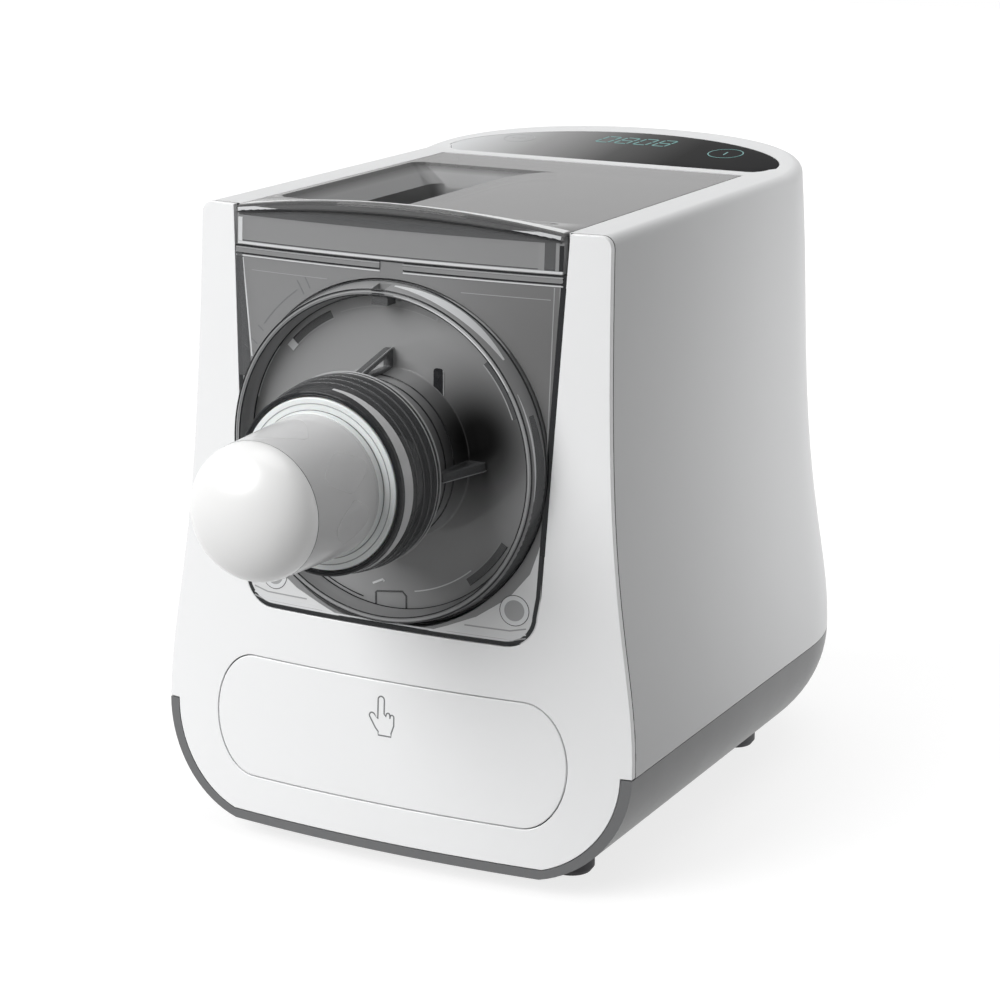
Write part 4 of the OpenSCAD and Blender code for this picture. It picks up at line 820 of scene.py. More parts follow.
def make_shell():
    """White shell: skin, well for the lid, pocket for the glass, vents and inlet opening."""
    low = SEAM_H + GAP / 2
    top = BODY_H - RIM_R
    levels = [body_ring(z) for z in steps(low, top, 40)]
    for a in RIM_TURNS:
        ring = body_ring(top, top_inset=RIM_R * (1 - cosd(a)))
        levels.append([(x, y, top + RIM_R * sind(a)) for x, y, _ in ring])
    shell = body_solid("shell", levels)
    inside_levels = [body_ring(z, WALL, SEAT_D + 2.5) for z in steps(low - 1, BODY_H - 3.2, 20)]
    carve(shell, body_solid("inner", inside_levels))
    mouth = [[spot(s * (half_w(z) - 10), y, z) for s, y in ((-1, -60), (1, -60), (1, 60), (-1, 60))]
             for z in steps(low - 5, BODY_H - 10, 20)]
    carve(shell, stack("mouth", mouth))
    well_low = BODY_H - 27
    well_end = WELL_BACK + WELL_WALL
    for x1, x2 in ((-WELL_HALF - WELL_WALL, -WELL_HALF + 0.5),
                   (WELL_HALF - 0.5, WELL_HALF + WELL_WALL)):
        face = 7.5 + front_y(x1, BODY_H)
        side = block("wall", (x1, face, well_low), (x2, well_end, BODY_H - 1.5))
        carve(shell, side, "UNION")
    back = block("wall", (-WELL_HALF - 1, WELL_BACK - 0.5, well_low),
                 (WELL_HALF + 1, well_end, BODY_H - 1.2))
    carve(shell, back, "UNION")
    carve(shell, block("well", (-WELL_HALF, -60, BODY_H - 47), (WELL_HALF, WELL_BACK, BODY_H + 20)))
    carve(shell, prism("pocket", glass_outline(GAP), on_slope(-GLASS_T - GAP), on_slope(20)))
    first = -VENT_PITCH * (VENTS - 1) / 2 - VENT_W / 2
    vent = block("vent", (first, BODY_D - 30, VENT_LOW), (first + VENT_W, BODY_D + 10, VENT_HIGH))
    carve(shell, repeated(vent, VENTS, shift=(VENT_PITCH, 0, 0)))
    carve(shell, block("inlet", (-INLET_HALF, BODY_D - 20, INLET_LOW),
                       (INLET_HALF, BODY_D + 10, INLET_HIGH)))
    soften(shell, 0.5, 45)
    settle(shell, FINISH["white_satin"], "body", "white_satin", "outer_shell")


def keel_arc(band, z_low, z_high, count=20):
    """Right half of the rounded foot of the front, drawn in by the trim band."""
    r = KEEL_R - band * 0.7
    cx = BODY_W / 2 - band - r
    start = math.degrees(math.asin((z_low - SEAM_H) / r))
    return arc(cx, SEAM_H, r, start, 0, count) + [(cx + r, z_high)]


def make_tub():
    """Gray base with its trim band round the foot of the front."""
    top = SEAM_H - GAP / 2
    start = math.asin(SEAM_H / KEEL_R)
    zs = [SEAM_H - KEEL_R * math.sin(start * (1 - i / 18)) for i in range(18)] + [top]
    tub = body_solid("tub", [body_ring(z, 0, 0) for z in zs])
    inner_zs = [z for z in zs if z > WALL + 0.2] + [top + 2]
    inner = [body_ring(min(z, SEAM_H), WALL, SEAT_D + 2.5) for z in inner_zs]
    inner = [[(x, y, z) for x, y, _ in ring] for ring, z in zip(inner, inner_zs)]
    carve(tub, body_solid("inner", inner))
    pocket = mirrored(keel_arc(TRIM_W - GAP, BAND_LOW - GAP, SEAM_H + 5))
    carve(tub, sheet("pocket", [pocket], at_depth(-10), at_depth(SEAT_D), 12.0))
    mouth = mirrored(keel_arc(TRIM_W + 4, BAND_LOW + 4, SEAM_H + 5))
    carve(tub, prism("mouth", mouth, lambda x, z: spot(x, -40, z), lambda x, z: spot(x, 30, z)))
    first = -FOOT_SLOT_PITCH * (FOOT_SLOTS - 1) / 2 - 2
    slot = block("slot", (first, BODY_D - 67, -5), (first + 4, BODY_D - 41, 5))
    carve(tub, repeated(slot, FOOT_SLOTS, shift=(FOOT_SLOT_PITCH, 0, 0)))
    soften(tub, 0.4, 45)
    settle(tub, FINISH["base_gray"], "body", "base_gray", "base_tub")


def drawer_outline(grow):
    """Stadium with elliptical ends."""
    x = BODY_W / 2 - DRAWER_SIDE - DRAWER_END
    return mirrored([(x + (DRAWER_END + grow) * cosd(t), DRAWER_Z + (DRAWER_RISE + grow) * sind(t))
                     for t in steps(-90, 90, 36)])


def window_corner(grow, z_high):
    """Right half of the window's outline, from the middle of its foot upwards."""
    r = WINDOW_R + grow
    foot = arc(WINDOW_FOOT - 0.6 - WINDOW_R, WINDOW_Z + WINDOW_R, r, -90, 0, 10)
    return foot + [(window_half(z) + grow, z) for z in steps(WINDOW_Z + WINDOW_R + 8, z_high, 6)]


def make_front():
    """Glossy white front, open at the top round the window, with the drawer's opening."""
    right = keel_arc(TRIM_W, BAND_LOW, SEAM_H + GAP)
    right += [(half_w(z), z) for z in steps(SEAM_H + GAP, BODY_H - RIM_R, 30)]
    right += [(half_w(BODY_H - RIM_R) - RIM_R * (1 - cosd(a)),
               BODY_H - RIM_R * (1 - sind(a))) for a in RIM_TURNS]
    right += list(reversed(window_corner(0, BODY_H)))
    outline = mirrored(right)
    front = sheet("front", [outline, drawer_outline(0)], at_depth(0), at_depth(PANEL_T))
    soften(front, 0.55, count=3)
    settle(front, FINISH["white_gloss"], "body", "white_gloss", "front_panel")


def make_seam():
    """Dark line of the joint between the glossy front and the satin shell."""
    edge = [(half_w(z), z, 1.0, 0.0) for z in steps(SEAM_H + GAP, BODY_H - RIM_R, 24)]
    wide = edge[-1][0]
    for a in RIM_TURNS:
        c, n = cosd(a), sind(a)
        edge.append((wide - RIM_R * (1 - c), BODY_H - RIM_R * (1 - n), c, n))
    edge.append((WELL_HALF + 0.6, BODY_H, 0.0, 1.0))
    section = ((0.02, -0.1), (0.02, GAP + 0.15), (-0.8, GAP + 0.15), (-0.8, -0.1))
    for side in (-1, 1):
        rings = []
        for x, z, c, n in edge:
            y = front_y(x, z) + PANEL_T
            rings.append([spot(side * (x + c * d), y + b, z + n * d) for d, b in section])
        settle(stack("seam", rings), EDGE_DARK, "body", "white_satin")


def make_drawer_front():
    """Drawer front, a hair smaller than its opening."""
    face = sheet("drawer_face", [drawer_outline(-0.5)], at_depth(0), at_depth(PANEL_T))
    soften(face, 0.45, count=3)
    settle(face, FINISH["white_gloss"], "drawer", "white_gloss", "drawer_front")


# ---- Window ----
def line_on_front(name, path, width, depth, finish, thick=0.5):
    """Line along a path of flat points, lying at a depth behind the bowed front."""
    fine = divided(path, closed=False)
    settle(ribbon(name, fine, width, at_depth(depth + thick), at_depth(depth)), finish, *ON_WINDOW)


def make_window():
    """Smoky plate round the ring, with its dark border, bars, lock marks, painted shade and painted
    highlights.
    """
    outline = mirrored(window_corner(-0.4, LID_Z - 0.4))
    loops = [outline, circle(0, AXIS_H, RING_R + 0.9)]
    plate = sheet("window", loops, at_depth(0.2), at_depth(SEAT_D))
    soften(plate, 0.4)
    settle(plate, PLATE_CLEAR, *ON_WINDOW, "window_plate")
    inner = mirrored(window_corner(-2.2, LID_Z - 0.6))
    border = sheet("window_border", [outline, inner], at_depth(0.05), at_depth(0.5))
    settle(border, EDGE_DARK, *ON_WINDOW)
    # Painted highlight along the lower part of the border.
    right = [p for p in window_corner(-2.8, LID_Z - 0.7) if p[1] < 135]
    lower = [(-x, z) for x, z in reversed(right)] + right
    line_on_front("border_glint", lower, 0.6, -0.02, PAINTED_HIGHLIGHT)
    # Painted light and shade on the window's sides: a dark band and a painted highlight on the
    # left, mid-gray painted highlight lines and a strip of painted shade on the right.
    side = [(-77.0, 248), (-73.4, 248), (-67.9, 196), (-74.4, 196)]
    settle(sheet("side_band", [side], at_depth(0.0), at_depth(0.15)), DARK_CLEAR_AND_SHADE, *ON_WINDOW)
    line_on_front("side_glint", [(-73.1, 245.8), (-67.8, 204.6)], 0.7, 0.1, PAINTED_HIGHLIGHT)
    for x1, x2 in ((71.2, 73.6), (73.6, 75.8)):
        line_on_front("side_line", [(x1 + 1.2, 246), (x2 - 2.6, 140)], 0.45, 0.1, MID_GRAY_LINE)
    line_on_front("side_shade", [(76.6, 246), (71.0, 137)], 2.6, 0.02, EDGE_DARK)
    # Mid-gray painted highlight lines along the bowl's top edge.
    for x1, x2 in ((-68.3, -30.0), (32.3, 71.0)):
        line_on_front("bowl_line", [(x1, 241.0), (x2, 241.0)], 0.3, 0.1, MID_GRAY_LINE)
    # Bars under the lid: a dark outline, a smoky body, a mid-gray painted highlight along the top
    # and a painted highlight line underneath.
    for x1, x2 in ((-76.5, -4.8), (5.9, 76.0)):
        for z1, z2, finish, front in ((247.2, 250.6, EDGE_DARK, 0.0),
                                      (247.9, 249.6, FINISH["smoke_clear"], -0.3),
                                      (249.7, 250.3, MID_GRAY_LINE, -0.35),
                                      (246.4, 246.9, PAINTED_HIGHLIGHT, 0.0)):
            bar = rounded([(x1, z1), (x2, z1), (x2, z2), (x1, z2)], 0.8)
            made = sheet("window_bar", [bar], at_depth(front), at_depth(0.25), 8.0)
            settle(made, finish, *ON_WINDOW)
    r = 78.2
    line_on_front("lock_line", arc(0, AXIS_H, r, 125, 142, 8), 0.45, 0.12, INK, thick=0.1)
    for turn, wide in ((120.5, 5.0), (123.5, 6.5), (144, 3.5), (149, 4.5), (152, 6.5)):
        tick = [(q * cosd(turn), AXIS_H + q * sind(turn)) for q in (r - wide / 2, r + wide / 2)]
        line_on_front("lock_tick", tick, 0.5, 0.12, INK, thick=0.1)


def make_bosses():
    """Light ledges and the ends of hollow bosses behind the window's lower corners, with painted
    highlight lines and rings.
    """
    ledge = [(20, 99.2), (61, 99.2), (68.0, 101.0), (70.6, 107), (71.2, 146), (69, 138), (66, 129),
             (57, 118), (43, 108.5), (30, 103)]
    for side in (-1, 1):
        loop = [(side * x, z) for x, z in ledge]
        back = sheet("ledge", [loop], at_depth(0.06), at_depth(0.18), 8.0)
        settle(back, LEDGE_CLEAR, *BEHIND_WINDOW)
        # Painted highlight lines along the ledge, mid-gray and bright.
        for rise, finish in ((2.9, MID_GRAY_LINE), (4.4, PAINTED_HIGHLIGHT), (6.9, MID_GRAY_LINE)):
            path = [(side * (24 + 2 * rise), WINDOW_Z + rise), (side * 58, WINDOW_Z + rise),
                    (side * 65, WINDOW_Z + rise + 1.6)]
            line_on_front("ledge_line", path, 0.6, 0.0, finish, thick=0.05)
        x, z = (-54.5, 112.6) if side < 0 else (59.7, 113.1)
        # Boss ends: a painted highlight ring round a mid-gray end, in a dark outline.
        for outer, inner, finish in ((6.2, 4.4, PAINTED_HIGHLIGHT), (4.4, 0, MID_GRAY_LINE),
                                     (6.5, 6.2, DARK_CLEAR_AND_SHADE)):
            loops = [circle(x, z, r, 40) for r in (outer, inner) if r]
            boss = sheet("boss", loops, at_depth(-0.04), at_depth(0.05))
            settle(boss, finish, *BEHIND_WINDOW)


# ---- Ring and disc ----
LUG_SPAN = 25


def band(name, near, far, span, thick, finish, body, slot, fade=0.0):
    """Part of a ring between two points of its profile (radius, reach), over a span of degrees.
    It narrows towards its ends by the fade; thick holds its depth in radius and reach."""
    rings = []
    count = max(4, int(abs(span[1] - span[0]) / 2.5))
    for i, t in enumerate(steps(span[0], span[1], count)):
        share = 0.5 * (1 - fade + fade * math.sin(math.pi * i / count))
        ends = [(near[0] + (far[0] - near[0]) * w, near[1] + (far[1] - near[1]) * w)
                for w in (0.5 - share, 0.5 + share)]
        corners = ends + [(r - thick[0], f - thick[1]) for r, f in reversed(ends)]
        rings.append([spot(r * cosd(t), -f, AXIS_H + r * sind(t)) for r, f in corners])
    settle(stack(name, rings), finish, body, slot)


def hoop(name, r, f, thick, finish, body, slot, turns=128, sides=8):
    """Round line about the nozzle's axis, at a radius and a reach forward."""
    settle(turned(name, circle(r, f, thick, sides), turns), finish, body, slot)


def make_ring():
    """Locking ring with its lugs, the notch at its top, and painted highlights and painted shade
    along its edges.
    """
    profile = [(RING_R, -20), (RING_R, -8), (LIP_R, 0.2), (LIP_R - 0.8, 1), (LIP_R - 2.4, 1),
               (LIP_R - 2.9, 0.4), (RING_R - 5.9, -7.9), (RING_R - 3, -8), (RING_R - 3, -20)]
    ring = turned("ring", rounded(profile, 0.5), 180)
    carve(ring, block("notch", (-3, -20, AXIS_H + LIP_R - 6), (3, 5.3, AXIS_H + LIP_R + 6)))
    settle(ring, RING_CLEAR, *ON_DISC, "locking_ring")
    half = LUG_SPAN / 2
    outline = arc(0, 0, RING_R + 4.2, -half, half, 8) + arc(0, 0, RING_R + 0.05, half, -half, 8)
    lug = prism("lugs", outline, at_reach(-19.6), at_reach(-17.1))
    turn_to(lug, 45)
    settle_copies(lug, 4, FINISH["smoke_clear"], *ON_DISC, turn=90)
    # Dark and mid-gray painted lines round the lip and the back edge.
    for r, f, thick, finish in ((LIP_R - 0.5, 0.85, 0.35, EDGE_DARK),
                                (LIP_R - 2.6, 0.8, 0.3, EDGE_DARK),
                                (LIP_R - 1.5, 1.0, 0.25, MID_GRAY_LINE),
                                (RING_R - 5.7, -7.7, 0.4, EDGE_DARK),
                                (RING_R - 0.05, -7.8, 0.45, EDGE_DARK)):
        hoop("ring_line", r, f, thick, finish, *ON_DISC, 180, 10)
    # Painted highlights along the ring's edges, and a band of painted shade on its cone.
    cone = ((RING_R + 0.05, -7.2), (LIP_R + 0.15, -0.6))
    glints = [((RING_R - 0.1, -6.4), (LIP_R + 0.4, -1.6), (40, 86), PAINTED_HIGHLIGHT),
              ((RING_R + 0.1, -8.6), (RING_R + 0.1, -10.2), (41, 70), PAINTED_HIGHLIGHT),
              ((LIP_R - 1.1, 1.12), (LIP_R - 2.2, 1.12), (30, 84), PAINTED_HIGHLIGHT),
              ((RING_R - 4.0, -3.4), (RING_R - 4.8, -5.6), (104, 152), MID_GRAY_LINE),
              ((RING_R - 4.2, -4.2), (RING_R - 5.1, -6.6), (195, 262), MID_GRAY_LINE),
              ((LIP_R + 0.5, -1.4), (LIP_R + 0.2, -0.5), (-8, 28), PAINTED_HIGHLIGHT),
              ((LIP_R - 1.0, 1.12), (LIP_R - 1.6, 1.12), (268, 330), MID_GRAY_LINE)]
    for near, far, span, finish in glints:
        band("ring_glint", near, far, span, (0.25, 0.1), finish, *ON_DISC, 0.8)
    band("ring_shade", *cone, (-50, 20), (0.2, 0.0), DARK_CLEAR_AND_SHADE, *ON_DISC, 0.6)
    tab = block("notch_tab", (-3.6, -0.2, AXIS_H + LIP_R - 6.8), (3.9, 6.4, AXIS_H + LIP_R - 3.4))
    settle(tab, DARK_CLEAR_AND_SHADE, *ON_DISC)


def turn_to(piece, degrees):
    """Turn a piece's mesh about the nozzle's axis."""
    centre = spot(0, 0, AXIS_H)
    piece.data.transform(Matrix.Translation(centre) @ Matrix.Rotation(math.radians(degrees), 4, "Y")
                         @ Matrix.Translation(-centre))


def make_disc():
    """Clear disc with its barrel, open brackets, thread and bayonet slots, with painted lines,
    painted highlights and painted shade.
    """
    barrel = 35.2
    front = DIE_REACH - 8.3
    face = -8.3
    disc_r = RING_R - 3.3
    profile = [(21.5, -14), (21.5, front - 9), (barrel - 4, front), (barrel, front), (barrel, 0.7),
               (barrel + 1.5, face), (disc_r, face), (disc_r, -19.4), (disc_r - 3.4, -19.4),
               (disc_r - 3.4, face - 3), (barrel, face - 3), (25.5, -14)]
    disc = turned("disc", rounded(profile, 0.8), 160)
    settle(disc, DISC_CLEAR, *ON_DISC, "extruder_disc")
    ridge = [(barrel + 0.02, front - 4.5), (barrel + 0.95, front - 3.8),
             (barrel + 0.95, front - 2.8), (barrel + 0.02, front - 2.1)]
    thread = turned("thread", rounded(ridge, 0.3))
    settle_copies(thread, 3, DARK_CLEAR_AND_SHADE, *ON_DISC, shift=(0, 4.2, 0))
    # Painted lines round the barrel: mid-gray ones and dark ones.
    for f, finish in ((face + 0.4, MID_GRAY_LINE), (2.0, EDGE_DARK), (9.0, EDGE_DARK),
                      (15.0, MID_GRAY_LINE)):
        hoop("barrel_line", barrel + 0.1, f, 0.35, finish, *ON_DISC)
    # Painted highlight round the inner rim.
    hoop("inner_rim_highlight", 30.5, -13.4, 0.35, PAINTED_HIGHLIGHT, *ON_DISC, 96)
    outer = [(barrel + 0.1, face + 0.1), (barrel + 9.4, face + 0.1), (barrel + 9.4, face + 2.2),
             (barrel + 3.6, 17.5), (barrel + 0.1, 17.5)]
    opening = [(barrel + 1.8, face + 2.6), (barrel + 6.9, face + 2.6), (barrel + 2.4, 12.5),
               (barrel + 1.8, 12.5)]
    bracket = sheet("brackets", [outer, opening], beside_axis(-1.7), beside_axis(1.7), 40.0)
    soften(bracket, 0.35)
    settle_copies(bracket, 4, DARK_CLEAR_AND_SHADE, *ON_DISC, turn=90)
    # Mid-gray painted highlights along two edges of each bracket.
    for start, end in ((outer[2], outer[3]), (outer[1], outer[2])):
        edge = ribbon("bracket_edge_highlights", [start, end], 0.5, beside_axis(1.65), beside_axis(1.95))
        settle_copies(edge, 4, MID_GRAY_LINE, *ON_DISC, turn=90)
    flat = (0.0, 0.15)
    # Bayonet slots drawn as strips of painted shade, with a mid-gray painted line on the inner
    # edge, a dark line on the outer edge and a painted highlight at one end.
    for span in ((20, 44), (-54, -31), (116, 140)):
        band("slot", (60.2, face + 0.1), (63.4, face + 0.1), span, flat, DARK_CLEAR_AND_SHADE, *ON_DISC)
        band("slot_edge", (59.9, face + 0.2), (60.4, face + 0.2), span, flat, MID_GRAY_LINE, *ON_DISC)
        band("slot_edge", (63.3, face + 0.2), (63.7, face + 0.2), span, flat, EDGE_DARK, *ON_DISC)
    band("slot_end", (60.0, face + 0.3), (63.6, face + 0.3), (136.5, 140), flat, PAINTED_HIGHLIGHT,
         *ON_DISC)
    # Painted lines on the disc's face: mid-gray highlights, bright highlights and dark lines.
    for near, far, span, finish in ((61.3, 61.7, (69.5, 112), MID_GRAY_LINE),
                                    (65.6, 66.5, (143, 165), PAINTED_HIGHLIGHT),
                                    (58.5, 59.0, (-79, -50), PAINTED_HIGHLIGHT),
                                    (61.4, 65.3, (68.9, 69.6), MID_GRAY_LINE),
                                    (64.6, 65.0, (20, 52), EDGE_DARK),
                                    (64.4, 64.9, (196, 258), EDGE_DARK)):
        band("disc_line", (near, face + 0.2), (far, face + 0.2), span, flat, finish, *ON_DISC)
    place = at_reach(face), at_reach(face + 0.25)
    tab = [(-7.4, -67), (-7.4, -60.6), (-6.8, -60.1), (5.4, -58.6), (7.2, -60.4), (7.2, -66.4)]
    settle(ribbon("release_tab", tab, 0.7, *place), DARK_CLEAR_AND_SHADE, *ON_DISC)
    mark = [(-8.8, -56.9), (-4.0, -54.6), (-3.2, -55.4)]
    settle(ribbon("tab_mark", mark, 0.9, *place), PAINTED_HIGHLIGHT, *ON_DISC)
    rib = rounded([(20.4, 27.2), (24.8, 22.6), (24.8, 38.2), (20.4, 38.2)], 1.6)
    settle(sheet("inner_rib", [rib], *place, 30.0), EDGE_DARK, *ON_DISC)
    bend = [(24.9, 37.4), (25.0, 23.6), (28.6, 18.0), (31.4, 11.0), (32.2, 4.0), (31.2, -4.0),
            (28.4, -11.4), (24.0, -17.0)]
    settle(ribbon("rib_edge", bend, 0.45, *place), MID_GRAY_LINE, *ON_DISC)


# ---- Nozzle ----
HOLE_R = 1.4
HOLE_PITCH = 6
SLEEVE_BACK_R = 29.3
SLEEVE_FRONT_R = 27.5
SLEEVE_WALL = 1.8
DOME_WALL_R = 23.7
DOME_ORDER = 2.1


def make_nut():
    """Die nut with its ribs, dark front lip, mid-gray painted highlights on its back rim and a
    painted highlight band on its cone.
    """
    bore, lip = 36.6, 35.5
    front = DIE_REACH - GAP
    profile = [(bore, 21.5), (bore + 3.4, 21.5), (bore + 3.4, 24), (bore + 3.1, 30),
               (bore + 2.2, 39), (bore + 0.6, front), (lip, front), (lip, DIE_REACH - 4.7),
               (bore, DIE_REACH - 4.7)]
    nut = turned("nut", rounded(profile, 0.5), 160)
    settle(nut, FINISH["smoke_dark"], *ON_NUT, "die_nut")
    lines = ((22.0, bore + 3.35, 0.45, MID_GRAY_LINE), (24.4, bore + 3.35, 0.3, MID_GRAY_LINE),
             (29.5, bore + 3.1, 0.5, DARK_CLEAR_AND_SHADE), (34.0, bore + 2.7, 0.45, DARK_CLEAR_AND_SHADE),
             (38.5, bore + 2.2, 0.4, DARK_CLEAR_AND_SHADE), (front - 0.3, bore + 0.25, 0.75, EDGE_DARK),
             (front + 0.1, lip + 0.5, 0.35, EDGE_DARK))
    for f, r, thick, finish in lines:
        hoop("nut_line", r, f, thick, finish, *ON_NUT, 160, 10)
    # Painted highlight band on the front of the nut's cone.
    band("nut_highlight_band", (bore + 1.98, 41.2), (bore + 1.1, 46.2), (-62, 84), (0.08, 0.0), PALE_HIGHLIGHT,
         *ON_NUT, 0.75)


def make_die():
    """White die with its collar, its step and its round holes."""
    back = DIE_REACH - 8
    spigot = 27.1
    profile = [(0, back), (36.1, back), (36.1, back + 3), (35.1, back + 3),
               (35.1, DIE_REACH - 0.4), (34.6, DIE_REACH), (30.2, DIE_REACH),
               (30.0, DIE_REACH + 0.2), (29.4, DIE_REACH + 2.8), (spigot, DIE_REACH + 2.8),
               (spigot, DIE_REACH + 9), (spigot - 2, DIE_REACH + 9), (spigot - 2, DIE_REACH - 2),
               (0, DIE_REACH - 2)]
    die = turned("die", rounded(profile, 0.4), 144)
    drill = [(0, back - 1), (HOLE_R, back - 1), (HOLE_R, DIE_REACH + 1), (0, DIE_REACH + 1)]
    for ring, count in enumerate((1, 6, 12, 18)):
        carve(die, repeated(turned("hole", drill, 20, ring * HOLE_PITCH), count, 360 / count))
    settle(die, FINISH["white_food"], *ON_DIE, "pasta_die")
    hoop("die_line", 32.6, DIE_REACH + 0.02, 0.22, MID_GRAY_LINE, *ON_DIE)
    hoop("die_line", 29.9, DIE_REACH + 0.3, 0.3, DARK_CLEAR_AND_SHADE, *ON_DIE)


def make_cap():
    """Clear sleeve with painted reflections, and white domed end."""
    back = DIE_REACH + 2.8 + GAP
    front = DIE_REACH + SLEEVE_L
    profile = [(SLEEVE_BACK_R, back), (SLEEVE_FRONT_R, front),
               (SLEEVE_FRONT_R - SLEEVE_WALL, front), (SLEEVE_BACK_R - SLEEVE_WALL, back)]
    sleeve = turned("sleeve", rounded(profile, 0.4), 144)
    settle(sleeve, FINISH["frost_clear"], *ON_SLEEVE, "cap_sleeve")
    hoop("sleeve_line", 28.95, back + 1.6, 0.3, MID_GRAY_LINE, *ON_SLEEVE)
    slim = (SLEEVE_BACK_R - SLEEVE_FRONT_R) / (front - back)
    # Painted reflections: three lighter patches on the sleeve.
    for start, end, span in ((62, 90, (66, 122)), (56, 84, (10, 44)), (58, 80, (-34, 4))):
        near, far = ((SLEEVE_BACK_R + 0.06 - slim * (f - back), f) for f in (start, end))
        band("sleeve_sheen", near, far, span, (0.12, 0.0), SLEEVE_REFLECTION, *ON_SLEEVE, 0.9)
    base = front + GAP
    tall = DOME_L - GAP
    outer, inner = ([(r * power(cosd(t), DOME_ORDER), base + high * power(sind(t), DOME_ORDER))
                     for t in turns]
                    for r, high, turns in ((SLEEVE_FRONT_R, tall, steps(0, 90, 28)),
                                           (DOME_WALL_R, tall - 2.2, steps(90, 0, 20))))
    collar = [(DOME_WALL_R, base - 5), (25.5, base - 5), (25.5, base)]
    dome = turned("dome", outer + inner + collar, 144)
    settle(dome, CAP_WHITE, "cap", "white_food", "cap_dome")
    hoop("dome_seam", 27.35, base - 0.1, 0.22, DARK_CLEAR_AND_SHADE, *ON_SLEEVE)


# ---- Lid ----
FEED_X = -LID_HALF + 2.6
FEED_Y = 41.0
FEED_W = 59.4
FEED_L = 120.0
HUMP_L = 26.0
BEAD_RISE = 6.7
BEAD_ORDER = 0.85
PLATE_T = 2.8


def feed_ring(z, slope, grow=0.0):
    """Outline of the feed funnel at height z, drawn in by a share of its slope."""
    left = FEED_X + 12.4 * slope - grow
    right = FEED_X + FEED_W - slope + grow
    front = FEED_Y + 4 * slope - grow
    back = FEED_Y + FEED_L - 4 * slope + grow
    curve = [(right + 14 * (1 - cosd(t)), back - 34 * (1 - sind(t))) for t in steps(0, 90, 12)]
    corner = arc(left + 6, back - 6, 6, 90, 180, 6)
    outline = [(left + 3, front), (right, front)] + curve + corner + [(left, front + 4)]
    return [spot(x, y, z) for x, y in outline]


def bead_rise(x):
    """Rise of the front bead's crest over the lid's corners."""
    return BEAD_RISE * (1 - (x / LID_HALF) ** 2)


def bead_left(t):
    """What is left of that rise at a share t of the bead's run down to the plate."""
    return (0.5 + 0.5 * math.cos(math.pi * t)) ** BEAD_ORDER


def hump_ring(x):
    """Section of the lid's front bead and of its run down to the plate."""
    rise = bead_rise(x)
    y = front_y(x, BODY_H - 2)
    low = BODY_H - PLATE_T
    inner = [(HUMP_L, low), (0.8 * HUMP_L, low + 0.12 * rise), (0.55 * HUMP_L, low + 0.45 * rise),
             (0.3 * HUMP_L, low + 0.78 * rise), (3.4, low + 0.8 * rise)]
    outer = [(t * HUMP_L, BODY_H + rise * bead_left(t)) for t in steps(0.06, 1, 12)]
    face = [(2.6, BODY_H - 4), (0.01, BODY_H - 4), (-0.01, BODY_H - 3.2 + 0.7 * rise),
            (-1.2, BODY_H - 2.6 + 0.75 * rise), (-1.2, BODY_H - 1.2 + 0.9 * rise),
            (-0.2, BODY_H - 0.3 + 0.98 * rise)]
    return [spot(x, y + d, z) for d, z in face + outer + inner]


def hinge_rod(name, r, x1, x2, sides):
    """Round rod on the axis of the lid's hinge."""
    return prism(name, circle(HINGE_Y, BODY_H - 3, r, sides), lambda y, z: spot(x1, y, z),
                 lambda y, z: spot(x2, y, z))


